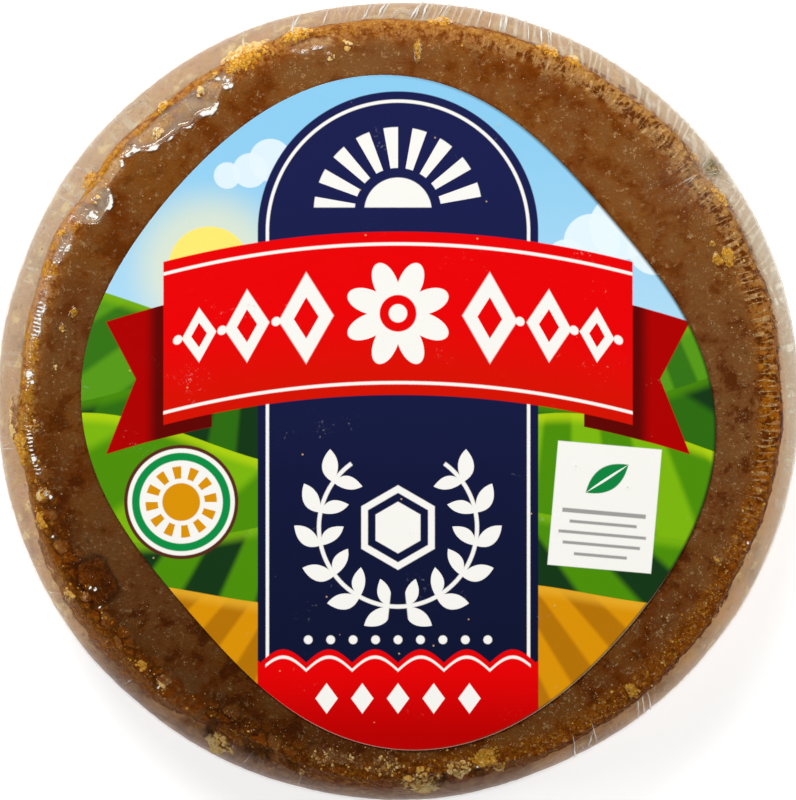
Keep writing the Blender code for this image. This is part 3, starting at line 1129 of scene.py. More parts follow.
def scatter_clumps(draw):
    """Azimuth, radius, size and tone of every crumb, clump by clump and then one by one."""
    azimuths, radii, scales, tones = [], [], [], []
    for azimuth, radius, half_length, half_width, gold, pale, count, size in CLUMPS:
        reach = np.sqrt(draw.random(count))
        turn = draw.uniform(0, math.tau, count)
        out = reach * np.sin(turn)
        azimuths.append(azimuth + np.degrees(1.05 * half_length * reach * np.cos(turn) * MM / RIM_RADIUS))
        radii.append(radius + 1.05 * half_width * out)
        scales.append(size * (0.45 + 0.7 * draw.random(count) ** 1.5))
        tones.append(np.clip(0.95 - 0.5 * gold + 0.6 * pale * gold * out + draw.normal(0, 0.12, count), 0, 1))
    low = draw.random(LOOSE_CRUMBS) < 0.75
    azimuths.append(np.where(low, draw.normal(270, 45, LOOSE_CRUMBS), draw.uniform(0, 360, LOOSE_CRUMBS)))
    radii.append(draw.normal(72.8, 1.5, LOOSE_CRUMBS))
    scales.append(draw.uniform(0.25, 0.7, LOOSE_CRUMBS))
    tones.append(draw.uniform(0, 0.8, LOOSE_CRUMBS))
    return map(np.concatenate, (azimuths, radii, scales, tones))


class PANELA_OT_crumbs(bpy.types.Operator):
    """Set loose crumbs along the rim, in clumps and singly"""

    bl_idname = "panela.crumbs"
    bl_label = "Crumbs"

    def execute(self, context):
        sizes, colours = context.scene.panela_sizes, context.scene.panela_colours
        sugar, _ = current_block(context)
        draw = np.random.default_rng(CRUMB_SEED)
        azimuths, radii, scales, tones = scatter_clumps(draw)
        places = seats(draw, sugar, azimuths, radii, scales * sizes.crumb)
        tree = scatter_tree("crumbs", 2, 3)
        stops = (colours.amber, colours.golden, colours.cream)
        material = crumb_material("crumbs", stops)
        mesh = scatter("crumbs", places, scales, tones, tree, material, sizes.crumb, 1.0)
        show("crumbs", mesh, material, "panela")
        return {"FINISHED"}


class PANELA_OT_grains(bpy.types.Operator):
    """Strew pale grains of dry sugar over the face and the rim"""

    bl_idname = "panela.grains"
    bl_label = "Sugar grains"

    def execute(self, context):
        sizes = context.scene.panela_sizes
        sugar, _ = current_block(context)
        draw = np.random.default_rng(GRAIN_SEED)
        low = draw.random(GRAINS) < 0.6
        azimuths = np.where(low, draw.normal(315, 60, GRAINS), draw.uniform(0, 360, GRAINS))
        radii = np.where(low, draw.normal(69.6, 2.8, GRAINS), 75.5 - np.abs(draw.normal(0, 6.0, GRAINS)))
        scales = 0.35 + 0.65 * draw.random(GRAINS) ** 2.5
        tones = draw.random(GRAINS)
        places = seats(draw, sugar, azimuths, np.clip(radii, 58, 75.5), scales * sizes.grain)
        tree = scatter_tree("grains", 1, 13)
        material = crumb_material("sugar_grains", (screen(150, 96, 48), screen(232, 200, 156)))
        mesh = scatter("sugar_grains", places, scales, tones, tree, material, sizes.grain, 0.4)
        show("sugar_grains", mesh, material, "panela")
        return {"FINISHED"}


# ---------------------------------------------------------------- the film


def film_surface(sizes):
    """The film's surface, and the numbers that its haze and gloss follow."""
    rings = ring_steps((0, 56, 14), (56, 63, 1.75), (63, 66, 0.75), (66, FACE_EDGE / MM, 0.36))
    film = Surface(profile(rings, 7, 17, 4), FILM_SECTORS)
    s, azimuth = film.past_rim, film.azimuth
    jitter = noise_at(film.strokes(3.0, 40.0, seed=5.0))
    hollow = film.hollowed(HOLLOWS, FILM_DEPTH, jitter)
    ledge = np.clip(film.hollowed(HOLLOWS, FILM_DEPTH, jitter - 0.9) - hollow, 0, 1)
    film.push(-hollow)

    patches = noise_at(film.strokes(14.0, 9.0, seed=2.0))
    blobs = noise_at(film.grains(2.1, 3))
    fold_noise = noise_at(film.strokes(1.5, 4.0, 0.1, seed=9.0))
    left = np.clip(near(azimuth, 172, 22), 0, 1)
    gathered = bell(s, -1.7, 1.0) * left * (0.75 + 0.6 * patches)
    folds = np.clip(gathered, 0, 1.2) * np.clip(1 - np.abs(fold_noise) / 0.25, 0, 1)
    film.push(folds * sizes.fold_height)
    swell = noise_at(film.strokes(9.0, 12.0, 0.1, seed=55.0))
    film.push(swell * 0.12 * MM * ease(s, 0.0, 3.0))

    ridge = np.clip(ledge / (0.20 * MM), 0, 1) * (0.1 + 0.9 * ease(blobs, -0.10, 0.22))
    film.push(ridge * (0.20 + 0.4 * noise_at(film.grains(1.3, 30))) * MM)
    for spark_azimuth, spark_radius, size in PAINTED_GLINTS:
        turn, out = film.away_from(spark_azimuth, spark_radius)
        ridge = np.maximum(ridge, np.exp(-(((turn**2 + out**2) / (1.3 * size) ** 2) ** 2)))
    turn, out = film.away_from(KNOT_AZIMUTH, KNOT_RADIUS)
    span = np.hypot(turn, out)
    fan = np.cos(13 * np.arctan2(out, turn)) * np.exp(-span / 3.4) * ease(span, 0.2, 1.2)
    film.push((fan * 0.24 + 0.30 * np.exp(-((span / 0.6) ** 2))) * MM)
    cover, _, _ = film.clumped()
    film.push(cover * 0.30 * MM * (s < 3))

    outer = ease(s, 0.2, 1.4)
    # Painted sheen: the film's haze is made stronger toward the key light.
    lit = np.clip(near(azimuth, 90, 100) + 0.25 * near(azimuth, 340, 45), 0, 1)
    slack = near(azimuth, 15, 34) * ease(s, 1.6, 5.0) + 0.45 * near(azimuth, 152, 32)
    dim = np.clip(along_rim(azimuth, DULL), 0, 1) * (1 - ease(s, 3.0, 8.0))
    bridged = np.clip(hollow / (0.5 * MM), 0, 1)
    haze = outer * (0.03 + 0.05 * lit + 0.08 * lit * patches + 0.46 * slack) * (1 - 0.96 * dim)
    turn, out = film.away_from(*KNOT_SHADE)
    knot_shade = np.exp(-((turn / 2.6) ** 2) - (out / 2.4) ** 2)
    haze *= (1 - 0.9 * knot_shade) * (1 - 0.8 * cover)
    # Painted highlights: the ridges and bright spots are hazed white.
    haze += 0.18 * bridged * (0.8 + 1.4 * blobs) + 0.3 * ridge
    haze += 0.16 * np.clip(np.abs(fan) * 2, 0, 1) * (1 - 0.7 * knot_shade)
    gloss = 0.06 + 0.3 * ease(-s, 3.0, 5.0) + 0.4 * outer + 1.2 * ridge + gathered + 1.2 * bridged
    gloss = gloss * (1 - 0.96 * dim) * (1 - 0.8 * knot_shade) + ease(s, 8.0, 14.0)
    lean = 0.58 * np.tanh((75 - np.degrees(azimuth)) / 8)
    wander = s + 1.0 * patches + 0.9 * blobs
    # Painted highlights: a row of short strokes inside the rim on the left, drawn white in the film's haze
    # over a small bump.
    dashes = bell(wander, -1.8, 0.75) * near(azimuth, 172, 20) * (0.9 + 0.9 * patches + 0.5 * blobs)
    numbers = {
        "haze": np.clip(haze, 0, 0.9),
        "gloss": np.clip(gloss, 0, 1.5),
        "dashes": np.clip(dashes, 0, 1),
        "glint": ridge,
        "outer": outer,
        "ribs": np.clip(along_rim(azimuth, RIBBED), 0, 1) * ease(s, 0.6, 2.2) * (1 - 0.7 * knot_shade),
        "slant": lean * FOLDS_ROUND * (film.radius - RIM_RADIUS) / RIM_RADIUS,
    }
    return film, numbers


def film_material(colours):
    """Thin clear film: see-through, glossy, milky where it is creased, and with painted white highlights."""
    material, tree = new_material("shrink_film")
    place, (x, y, z) = own_place(tree)
    outer, glint, dashes = (attribute(tree, name) for name in ("outer", "glint", "dashes"))
    cloud = speckle(place, 5 * MM, 3, 0.55)
    ripple = speckle(place, 1.1 * MM, 2, 0.5)
    pulled = round_strokes(tree, place, x, y, z, 1.6, 30.0, 0.12)
    turn = x.maths("ARCTAN2", y, x) * PLEATS_ROUND + ripple * 8.0
    sharp = speckle(place, 0.6 * MM, 2, 0.6)
    painted_dash_glints = turn.sine().rise(0.15, 0.65) * (dashes * (cloud * 0.9 + sharp * 1.0)).rise(0.34, 0.54)
    # Painted highlights: white marks on the ridges, the bright spots and the row of short strokes, drawn into
    # the film's haze.
    white = (glint * (sharp * 1.6 + 0.1)).rise(0.34, 0.60) * ripple.rise(0.36, 0.50)
    white = (white + painted_dash_glints).held()
    streaks = pulled.rise(0.50, 0.66) * cloud.rise(0.36, 0.60) * outer
    drift = round_strokes(tree, place, x, y, z, 9.0, 400.0, 0.0)
    phase = x.maths("ARCTAN2", y, x) * FOLDS_ROUND - attribute(tree, "slant") + drift * 34.0
    fold = phase.sine().rise(0.0, 1.0) * attribute(tree, "ribs") * (0.05 + cloud * 0.5)
    veil = attribute(tree, "haze") * (0.3 + ripple * 0.4 + cloud * 0.7 + streaks * 0.9) + fold + white * 0.95

    height = turn.sine() * dashes * 0.5 + pulled * outer + ripple * outer * 0.3 + ripple * 0.2 + fold * 0.6
    normal = bump(height + cloud * 0.3, 0.6, 0.40 * MM)
    facing = add_node(tree, "ShaderNodeLayerWeight", values={"Blend": 0.5, "Normal": normal}, output=1)
    sheen = (0.045 + facing**5.0 * 0.24) * attribute(tree, "gloss")
    clear = add_node(tree, "ShaderNodeBsdfTransparent")
    haze_colour = blend(white, colours.milk, colours.paper)
    milk = add_node(tree, "ShaderNodeBsdfDiffuse", values={"Color": haze_colour, "Normal": normal})
    body = add_node(tree, "ShaderNodeMixShader", values={0: veil.held(), 1: clear, 2: milk})
    gloss = add_node(
        tree,
        "ShaderNodeBsdfAnisotropic",
        values={"Color": (1, 1, 1, 1), "Roughness": 0.12, "Normal": normal},
    )
    finish_material(tree, add_node(tree, "ShaderNodeMixShader", values={0: sheen.held(), 1: body, 2: gloss}))
    return material


class PANELA_OT_film(bpy.types.Operator):
    """Draw the clear film tight round the block, with its folds and the hollows that it bridges"""

    bl_idname = "panela.film"
    bl_label = "Shrink film"

    def execute(self, context):
        film, numbers = film_surface(context.scene.panela_sizes)
        mesh = ring_mesh("shrink_film", film.places())
        for name, values in numbers.items():
            write_attribute(mesh, name, values * np.ones_like(film.past_rim))
        show("shrink_film", mesh, film_material(context.scene.panela_colours), "film")
        return {"FINISHED"}


def crease_rows(draw):
    """Each crease's head and foot, in degrees of azimuth and millimetres past the rim, and its width."""
    rows = []
    for azimuth in np.concatenate([draw.uniform(66, 114, 24), draw.uniform(294, 312, 6)]):
        lean = -1.8 * math.tanh((azimuth - 76) / 8) * draw.uniform(0.7, 1.2)
        head = draw.uniform(0.2, 1.3) if draw.random() < 0.85 else draw.uniform(-3.6, -1.0)
        rows.append((azimuth, head, azimuth + lean, draw.uniform(13, 20), draw.uniform(0.5, 1.15)))
    for step in range(-4, 5):
        foot = KNOT_AZIMUTH + step * draw.uniform(1.2, 2.0)
        rows.append((KNOT_AZIMUTH + 0.25 * step, 0.9, foot, draw.uniform(9, 15), draw.uniform(0.2, 0.4)))
    for azimuth, inward in ((37.6, -6.0), (36.7, -4.6)):
        rows.append((KNOT_AZIMUTH, -0.2, azimuth, inward, 0.4))
    for azimuth in draw.uniform(0, 360, 40):
        foot = azimuth + draw.normal(0, 0.8)
        rows.append((azimuth, draw.uniform(1, 6), foot, draw.uniform(9, 19), draw.uniform(0.2, 0.5)))
    return rows


def crease_paths(film, draw):
    """Points, edges and widths of the long creases, on the film."""
    past_rim = film.past_rim[:, 0]
    places, edges, widths = [], [], []
    for head_azimuth, head, foot_azimuth, foot, width in crease_rows(draw):
        share = np.linspace(0, 1, CREASE_STEPS)
        ring = np.interp(head + (foot - head) * share, past_rim, np.arange(len(past_rim)))
        low = np.minimum(ring.astype(int), len(past_rim) - 2)
        plan = film.radius[low, 0]
        along = (plan - plan[0]) / (plan[-1] - plan[0])
        azimuth = np.radians(head_azimuth + (foot_azimuth - head_azimuth) * along)
        sector = np.round(azimuth / math.tau * film.azimuth.size).astype(int) % film.azimuth.size
        part = ring - low
        radius = film.radius[low, sector] * (1 - part) + film.radius[low + 1, sector] * part
        height = film.height[low, sector] * (1 - part) + film.height[low + 1, sector] * part
        radius = np.minimum(radius, WIDEST_RADIUS - 0.3 * MM)
        first = len(widths)
        places += list(zip(radius * np.cos(azimuth), radius * np.sin(azimuth), height))
        edges += [(first + i, first + i + 1) for i in range(CREASE_STEPS - 1)]
        taper = np.sin(math.pi * share).clip(0) ** 0.6 * (0.7 + 0.3 * np.sin(7 * share + head_azimuth))
        widths += list(width * taper)
    return places, edges, np.array(widths)


def crease_tree():
    """Nodes that turn each path into a thin rounded ridge that tapers away at both ends."""
    sizes = (("Radius", 0.2 * MM),)
    tree, (paths, radius, finish) = geometry_tree("creases", "Paths", sizes, "Creases")
    curves = add_node(tree, "GeometryNodeMeshToCurve", values={0: paths})
    ring = add_node(tree, "GeometryNodeCurvePrimitiveCircle", values={"Resolution": 6, "Radius": 1.0})
    values = {"Curve": curves, "Profile Curve": ring, "Scale": named_number(tree, "width") * radius}
    ridges = add_node(tree, "GeometryNodeCurveToMesh", values=values)
    values = {"Geometry": ridges, "Distance": 0.002 * MM}
    finish_geometry(tree, add_node(tree, "GeometryNodeMergeByDistance", values=values), finish)
    return tree


def crease_material(colours):
    """Film doubled over on itself: milky, glossy and still a little see-through."""
    material, tree = new_material("film_creases")
    place, _ = own_place(tree)
    cloud = speckle(place, 2.5 * MM, 3, 0.6)
    facing = add_node(tree, "ShaderNodeLayerWeight", values={"Blend": 0.5}, output=1)
    clear = add_node(tree, "ShaderNodeBsdfTransparent")
    milk = add_node(tree, "ShaderNodeBsdfDiffuse", values={"Color": opaque(colours.paper)})
    cloudy = (attribute(tree, "width") * (0.8 + cloud * 0.8)).held() * 0.8
    body = add_node(tree, "ShaderNodeMixShader", values={0: cloudy, 1: clear, 2: milk})
    gloss = add_node(tree, "ShaderNodeBsdfAnisotropic", values={"Color": (1, 1, 1, 1), "Roughness": 0.25})
    sheen = (0.02 + facing**5.0 * 0.1).held()
    finish_material(tree, add_node(tree, "ShaderNodeMixShader", values={0: sheen, 1: body, 2: gloss}))
    return material


class PANELA_OT_creases(bpy.types.Operator):
    """Run long creases down the side of the film, and a fan of them from where it was gathered"""

    bl_idname = "panela.creases"
    bl_label = "Film creases"

    def execute(self, context):
        sizes = context.scene.panela_sizes
        film, _ = film_surface(sizes)
        places, edges, widths = crease_paths(film, np.random.default_rng(CREASE_SEED))
        start = start_mesh("film_creases", places, edges, {"width": widths})
        material = crease_material(context.scene.panela_colours)
        mesh = grow("film_creases", start, crease_tree(), {"Radius": sizes.crease, "Finish": material})
        mesh.shade_smooth()
        show("film_creases", mesh, material, "film")
        return {"FINISHED"}


# ---------------------------------------------------------------- the label


# How soft the print's edges are, in millimetres
PRINT_EDGE = 0.13

# Each ring of the label, as a share of the way from its centre to its edge, and how far down it has gone:
# out over the top, round the edge and back in below
LABEL_RINGS = (
    *((share, 0.0) for share in (0, 0.15, 0.3, 0.45, 0.6, 0.7, 0.78, 0.85, 0.9)),
    *((share, 0.0) for share in (0.94, 0.965, 0.98, 0.99, 0.996, 0.9985)),
    (1.0, 0.25),
    (1.0, 1.0),
    (0.5, 1.0),
    (0.0, 1.0),
)


def within(distance, limit, soft=PRINT_EDGE):
    """1 where distance is under the limit."""
    return 1 - distance.rise(limit - soft, limit + soft)


def apart(x, y, centre_x, centre_y):
    return ((x - centre_x) ** 2.0 + (y - centre_y) ** 2.0) ** 0.5


def card(x, y, half_x, half_y):
    return within((abs(x) - half_x).most(abs(y) - half_y), 0.0)


def lozenge(x, y, half_x, half_y):
    return within(abs(x) / half_x + abs(y) / half_y, 1.0, 0.04)


def leaf(along, across, half_length, half_width):
    return within(abs(across) / half_width + (along / half_length) ** 2.0, 1.0, 0.06)


def line_at(distance, place, half_width):
    return within(abs(distance - place), half_width)


def turned_by(x, y, degrees):
    """x and y seen from axes turned by so many degrees."""
    lean = math.radians(degrees)
    return x * math.cos(lean) + y * math.sin(lean), y * math.cos(lean) - x * math.sin(lean)


def angle_about(x, y, centre_x, centre_y):
    """Angle round a centre, 0 straight down from it."""
    return (x - centre_x).maths("ARCTAN2", x - centre_x, centre_y - y)


def furrows(x, y, centre_x, centre_y, count):
    """Stripes that run out from a far point, as rows in a field do."""
    return (angle_about(x, y, centre_x, centre_y) * count).sine()


def field(colour, x, y, top, far, count, shades):
    """A field below its top line, with rows of two shades and a lit upper edge."""
    dark, light, crest = shades
    rows = blend(furrows(x, y, *far, count).rise(-0.35, 0.35), dark, light)
    rows = blend(within(top - y, 1.6, 1.2) * 0.8, rows, crest)
    return blend(within(y - top, 0.0), colour, rows)


def countryside(x, y, colours):
    """Sky, a low sun, clouds and rolling fields."""
    air = blend(y.rise(0, 58), screen(176, 216, 238), colours.sky)
    sun = apart(x, y, -37.0, 26.0)
    air = blend(within(sun, 13.5, 5.0) * 0.5, air, screen(250, 236, 170))
    air = blend(within(sun, 8.0), air, screen(252, 226, 110))
    for centre_x, centre_y, size in ((38, 31, 5.5), (44, 34, 6.5), (50.5, 30, 5.5), (33, 27.5, 4)):
        air = blend(within(apart(x, y, centre_x, centre_y), size) * 0.9, air, screen(226, 240, 248))
    for centre_x, centre_y, size in ((-29, 45, 3.4), (-25, 47, 4.2), (-33.5, 44, 2.6)):
        air = blend(within(apart(x, y, centre_x, centre_y), size) * 0.9, air, screen(222, 236, 246))
    deep, lime = screen(20, 54, 22), screen(176, 206, 16)
    bright = screen(120, 176, 14)
    far_hill = 19.0 + (x / 13.0 + 0.8).sine() * 4.5
    air = field(air, x, y, far_hill, (30, 70), 46.0, (screen(52, 112, 22), screen(84, 148, 24), bright))
    middle = 5.0 + (x / 17.0 + 2.6).sine() * 6.0
    air = field(air, x, y, middle, (-26, 52), 34.0, (deep, screen(44, 104, 16), colours.leaf))
    close = -8.0 + (x / 15.0 - 0.6).sine() * 5.5
    air = field(air, x, y, close, (34, 40), 26.0, (colours.leaf, bright, lime))
    low = -24.0 + (x / 19.0 + 1.2).sine() * 4.0
    air = field(air, x, y, low, (-8, 22), 30.0, (deep, colours.leaf, bright))
    ground = -38.0 + (x / 12.0).sine() * 2.2
    earth = (screen(176, 112, 6), colours.ochre, screen(226, 168, 40))
    return field(air, x, y, ground, (0, 0), 40.0, earth)


def navy_panel(colour, x, y, colours):
    """A navy arch with a cream line inside its edge, rays at its head and a wreath."""
    cream = colours.paper
    # Painted shade: the navy is darker toward the label's foot.
    navy_shaded_low = blend(y.rise(-60, 60), screen(14, 20, 48), colours.navy)
    arch = apart(x, y.maths("MAXIMUM", y, 33.0), 0.0, 33.0)
    colour = blend(within(arch, 27.5), colour, navy_shaded_low)
    colour = blend(line_at(arch, 25.6, 0.32), colour, cream)

    head = apart(x, y, 0.0, 37.0)
    rays = (angle_about(x, y, 0.0, 37.0) * 18.0).sine().rise(-0.1, 0.1)
    upper = y.rise(37.6, 37.9)
    colour = blend(within(head, 16.5) * head.rise(8.4, 8.6) * rays * upper, colour, cream)
    colour = blend(within(head, 6.6) * upper, colour, cream)

    round_wreath = apart(x, y, 0.0, -25.0)
    turn = angle_about(abs(x), y, 0.0, -25.0)
    step = math.radians(24)
    radius = 15.5
    along = ((turn / step).part() - 0.5) * step * radius
    across = round_wreath - radius
    a, b = turned_by(along, abs(across) - 2.4, 52)
    leaves = leaf(a, b, 3.1, 1.45) * within(turn, step * 6, 0.01) * turn.rise(0.10, 0.12)
    stem = line_at(across, 0.0, 0.4) * within(turn, step * 6, 0.01)
    colour = blend(leaves.most(stem), colour, cream)
    six = (abs(x)).most(abs(x) * 0.5 + abs(y + 25.0) * 0.866)
    colour = blend(within(six, 7.2), colour, cream)
    colour = blend(within(six, 5.9), colour, navy_shaded_low)
    colour = blend(within(six, 4.4), colour, cream)
    dots = apart((x / 4.4 + 0.5).part() * 4.4, y, 2.2, -47.0)
    return blend(within(dots, 0.85) * within(abs(x), 20.0), colour, cream)


def red_foot(colour, x, y, colours):
    """A red field with a scalloped top across the foot of the panel."""
    scallop = -51.5 + abs((x * (math.pi / 9.0)).sine()) * 2.6
    reach = within(abs(x), 27.5)
    # Painted shade: the red is darker toward the label's foot.
    shaded_low_red = screen(178, 0, 0)
    colour = blend(within(y - scallop, 0.0) * reach, colour, blend(y.rise(-68, -50), shaded_low_red, colours.red))
    colour = blend(line_at(y - scallop, -1.5, 0.3) * within(abs(x), 26.0), colour, colours.paper)
    marks = (x / 7.0 + 0.5).part() * 7.0 - 3.5
    return blend(lozenge(marks, y + 58.5, 2.2, 3.0) * within(abs(x), 17.0), colour, colours.paper)


def ribbon(colour, x, y, colours):
    """A red ribbon across the middle, with notched tails and cream lozenges round a flower."""
    cream = colours.paper
    side = abs(x)
    middle = 17.0 - (x / 50.0) ** 2.0 * 7.0
    v = y - middle
    tail = y - middle + 5.5
    notch = side - 57.0 + abs(tail) * 0.45 * -1.0 + 5.6
    tails = card(side - 47.0, tail, 10.5, 13.0) * within(notch, 0.0)
    colour = blend(tails, colour, screen(168, 0, 0))
    colour = blend(tails * within(side, 48.5, 1.6), colour, screen(92, 4, 2))
    body = card(x, v, 46.0, 16.0)
    cloth = blend(v.rise(-18, 2), screen(204, 18, 1), colours.red)
    colour = blend(body, colour, cloth)
    colour = blend(body * line_at(abs(v), 13.6, 0.32), colour, cream)

    flower = apart(x, v, 0.0, 0.0)
    petals = abs((angle_about(x, v, 0.0, 0.0) * 4.0).sine()) * 4.6 + 6.0
    colour = blend(within(flower - petals, 0.0), colour, cream)
    colour = blend(within(flower, 3.6), colour, cloth)
    colour = blend(within(flower, 1.8), colour, cream)
    for centre, half_x, half_y in ((18.0, 5.4, 9.0), (29.6, 4.4, 7.2), (39.0, 3.4, 5.4)):
        colour = blend(lozenge(side - centre, v, half_x, half_y), colour, cream)
        colour = blend(lozenge(side - centre, v, half_x * 0.45, half_y * 0.45), colour, cloth)
    for centre in (23.9, 34.5, 43.2):
        colour = blend(within(apart(side, v, centre, 0.0), 0.9), colour, cream)
    return colour


def small_marks(colour, x, y, colours):
    """A white card with a leaf and plain bars, and a round mark with a sun."""
    cream = colours.paper
    a, b = turned_by(x - 40.5, y + 21.0, -5)
    colour = blend(card(a, b, 10.2, 12.2), colour, cream)
    c, d = turned_by(a, b - 5.6, 38)
    colour = blend(leaf(c, d, 5.0, 2.3), colour, screen(16, 128, 62))
    colour = blend(leaf(c, d, 5.0, 0.25), colour, cream)
    grey = screen(120, 118, 116)
    for row, (width, weight) in enumerate(((8.2, 0.42), (6.6, 0.3), (8.6, 0.3), (7.6, 0.3), (5.2, 0.3))):
        colour = blend(card(a, b + 1.2 + row * 2.1, width, weight) * 0.8, colour, grey)

    reach = apart(x, y, -42.5, -20.0)
    colour = blend(within(reach, 11.2), colour, screen(84, 40, 26))
    colour = blend(within(reach, 10.5), colour, cream)
    colour = blend(line_at(reach, 8.9, 0.75), colour, screen(12, 138, 66))
    rays = (angle_about(x, y, -42.5, -20.0) * 12.0).sine().rise(-0.1, 0.1)
    colour = blend(within(reach, 7.0) * reach.rise(4.5, 4.7) * rays, colour, colours.ochre)
    return blend(within(reach, 3.7), colour, colours.ochre)


def label_material(colours):
    """Printed satin paper with a pale cut edge, a painted shadow along its right edge and a little wear."""
    material, tree = new_material("printed_paper")
    place, (x, y, _) = own_place(tree)
    colour = countryside(x, y, colours)
    colour = navy_panel(colour, x, y, colours)
    colour = red_foot(colour, x, y, colours)
    colour = ribbon(colour, x, y, colours)
    colour = small_marks(colour, x, y, colours)

    edge = attribute(tree, "edge")
    # Painted shadow: a dark line along the label's right edge.
    shadow = screen(34, 40, 18)
    colour = blend(within(edge, 0.35, 0.35) * x.rise(-20, 45) * 0.8, colour, shadow)
    cut = within(edge, 0.10, 0.10) * (x * 0.3 - y).rise(46, 62)
    colour = blend(cut * 0.5, colour, screen(222, 206, 186))
    smudge = speckle(place, 11 * MM, 4, 0.6)
    scuffs = speckle(place, 0.7 * MM, 2, 0.6)
    worn = smudge.rise(0.60, 0.74) * scuffs.rise(0.60, 0.68)
    colour = blend(worn * 0.35, colour, screen(196, 190, 184))
    dust = cells(place, 5.5 * MM)
    colour = blend(within(dust, 0.035, 0.012) * 0.7, colour, colours.speck)

    height = smudge * 0.7 + scuffs * 0.06 + within(dust, 0.10, 0.08) * 0.25
    finish_solid(tree, colour, 0.34 + smudge * 0.12, 0.05, bump(height, 0.35, 0.5 * MM))
    return material


def label_mesh():
    """Thin, lightly waved paper in the label's outline, with each point's distance from its edge."""
    azimuth = np.linspace(0, math.tau, LABEL_SECTORS, endpoint=False)[None, :]
    outline = LABEL_RADIUS + LABEL_STRETCH * np.cos(2 * (azimuth - LABEL_LEAN))
    outline = outline + LABEL_SHOULDERS * np.cos(4 * azimuth)
    shares, drop = np.hsplit(np.array(LABEL_RINGS), 2)
    x = outline * shares * np.cos(azimuth) + LABEL_CENTRE.x
    y = outline * shares * np.sin(azimuth) + LABEL_CENTRE.y
    places = np.stack([x, y, np.zeros_like(x)], axis=-1)
    wave = (0.5 + 0.5 * noise_at(places / (16 * MM))) * (1 - shares**4)
    upper = HEIGHT + (0.12 + 0.14 * wave) * MM
    places[..., 2] = upper + (HEIGHT + 0.02 * MM - upper) * drop
    mesh = ring_mesh("label", places)
    write_attribute(mesh, "edge", (1 - shares) * outline / MM)
    return mesh


class PANELA_OT_label(bpy.types.Operator):
    """Lay the printed label on the face"""

    bl_idname = "panela.label"
    bl_label = "Label"

    def execute(self, context):
        material = label_material(context.scene.panela_colours)
        show("printed_label", label_mesh(), material, "label", "label")
        return {"FINISHED"}


# ---------------------------------------------------------------- the stage

# The floor's half width and how far it lies under the block; the camera's height and its lens in millimetres
FLOOR_REACH = 3.0
FLOOR_GAP = 0.2 * MM
CAMERA_HEIGHT = 1.1
CAMERA_LENS = 244.9

# How bright the room is all round and straight above
ROOM_LIGHT = 0.36
LIGHT_ABOVE = 0.02

# Soft boxes: name, azimuth and elevation in degrees, distance, width and height in metres, and watts
SOFT_BOXES = (
    ("key", 108, 52, 1.2, 0.55, 0.4, 9.0),
    ("right", 15, 42, 1.2, 0.5, 0.4, 3.8),
    ("left", 180, 42, 1.2, 0.4, 0.3, 3.0),
    ("low", 290, 45, 1.3, 0.6, 0.3, 1.8),
)


def area_light(name, azimuth, elevation, distance, width, height, watts):
    """A soft box that looks at the block from this side."""
    light = bpy.data.lights.new(name, "AREA")
    light.shape = "RECTANGLE"
    light.size, light.size_y = width, height
    light.energy = watts
    lamp = bpy.data.objects.new(name, light)
    turn, rise = math.radians(azimuth), math.radians(elevation)
    away = Vector((math.cos(turn) * math.cos(rise), math.sin(turn) * math.cos(rise), math.sin(rise)))
    lamp.location = away * distance
    lamp.rotation_euler = away.to_track_quat("Z", "Y").to_euler()
    bpy.context.scene.collection.objects.link(lamp)


def studio_world():
    """Even light from all round, with little from straight above; a plain white backdrop where it is seen."""
    world = bpy.data.worlds.new("studio")
    world.use_nodes = True
    tree = world.node_tree
    tree.nodes.clear()
    direction = add_node(tree, "ShaderNodeTexCoord", output=0)
    split = add_node(tree, "ShaderNodeSeparateXYZ", values={0: direction})
    up = Shade(tree, split.socket.node.outputs[2])
    light = ROOM_LIGHT * (1 - up.rise(0.60, 0.90)) + LIGHT_ABOVE
    seen = add_node(tree, "ShaderNodeLightPath")
    light = light.most(seen)
    sky = add_node(tree, "ShaderNodeBackground", values={"Color": (1, 1, 1, 1), "Strength": light})
    out = tree.nodes.new("ShaderNodeOutputWorld")
    tree.links.new(sky.socket, out.inputs["Surface"])
    bpy.context.scene.world = world


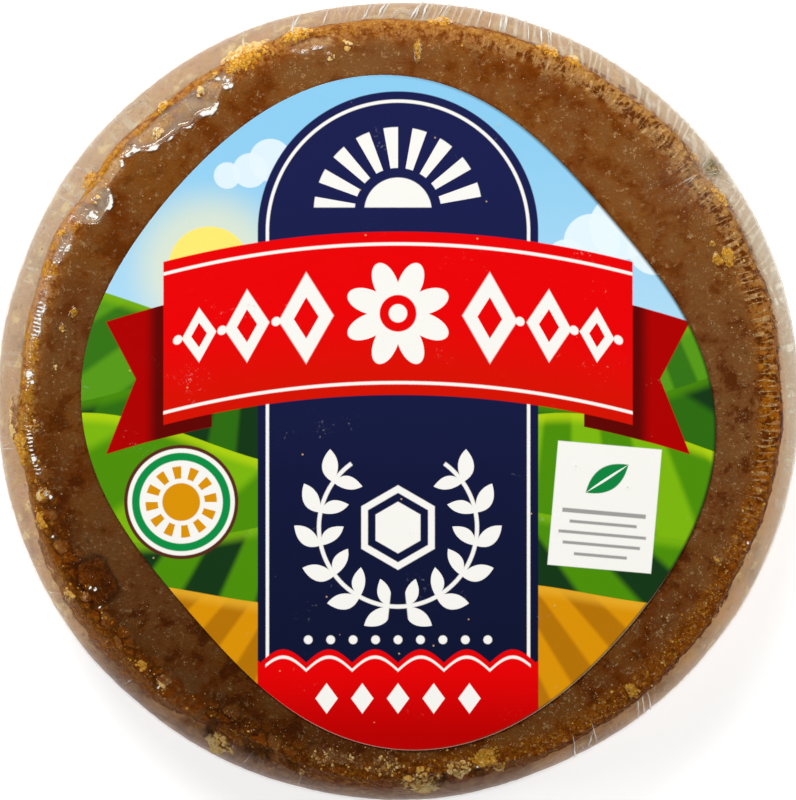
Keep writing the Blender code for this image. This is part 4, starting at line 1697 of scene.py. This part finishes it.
class PANELA_OT_stage(bpy.types.Operator):
    """Set up the floor, the soft light and the camera straight above"""

    bl_idname = "panela.stage"
    bl_label = "Stage"

    def execute(self, context):
        scene = context.scene
        scene.view_settings.view_transform = "Standard"
        studio_world()
        for soft_box in SOFT_BOXES:
            area_light(*soft_box)

        mesh = bpy.data.meshes.new("floor")
        sides = ((-1, -1), (1, -1), (1, 1), (-1, 1))
        corners = [(x * FLOOR_REACH, y * FLOOR_REACH, -FLOOR_GAP) for x, y in sides]
        mesh.from_pydata(corners, [], [(0, 1, 2, 3)])
        material, tree = new_material("floor")
        paint = add_node(
            tree,
            "ShaderNodeBsdfPrincipled",
            values={
                "Base Color": (0.72, 0.72, 0.72, 1),
                "Roughness": 0.8,
                "Emission Color": (1, 1, 1, 1),
                "Emission Strength": 0.57,
            },
        )
        finish_material(tree, paint)
        mesh.materials.append(material)
        floor = bpy.data.objects.new("floor", mesh)
        scene.collection.objects.link(floor)

        camera = bpy.data.cameras.new("camera")
        camera.sensor_width = 36.0
        camera.lens = CAMERA_LENS
        camera.clip_start = 0.01
        seat = bpy.data.objects.new("camera", camera)
        seat.location = (0, 0, CAMERA_HEIGHT)
        scene.collection.objects.link(seat)
        scene.camera = seat
        return {"FINISHED"}


# ---------------------------------------------------------------- the add-on

OPERATORS = (
    PANELA_OT_stage,
    PANELA_OT_block,
    PANELA_OT_crumbs,
    PANELA_OT_grains,
    PANELA_OT_film,
    PANELA_OT_creases,
    PANELA_OT_label,
)


class PANELA_PT_pieces(bpy.types.Panel):
    """The pieces of the panela, and the sizes and colours they are made in"""

    bl_idname = "PANELA_PT_pieces"
    bl_label = "Round panela"
    bl_space_type = "VIEW_3D"
    bl_region_type = "UI"
    bl_category = "Panela"

    def draw(self, context):
        for operator in OPERATORS:
            self.layout.operator(operator.bl_idname)
        for settings in (context.scene.panela_sizes, context.scene.panela_colours):
            box = self.layout.box()
            for name in settings.__annotations__:
                box.prop(settings, name)


CLASSES = (PanelaSizes, PanelaColours, *OPERATORS, PANELA_PT_pieces)


def register():
    for cls in CLASSES:
        bpy.utils.register_class(cls)
    bpy.types.Scene.panela_sizes = bpy.props.PointerProperty(type=PanelaSizes)
    bpy.types.Scene.panela_colours = bpy.props.PointerProperty(type=PanelaColours)


def unregister():
    del bpy.types.Scene.panela_sizes
    del bpy.types.Scene.panela_colours
    for cls in reversed(CLASSES):
        bpy.utils.unregister_class(cls)


def main():
    register()
    for operator in OPERATORS:
        group, name = operator.bl_idname.split(".")
        getattr(getattr(bpy.ops, group), name)()


if __name__ == "__main__":
    main()
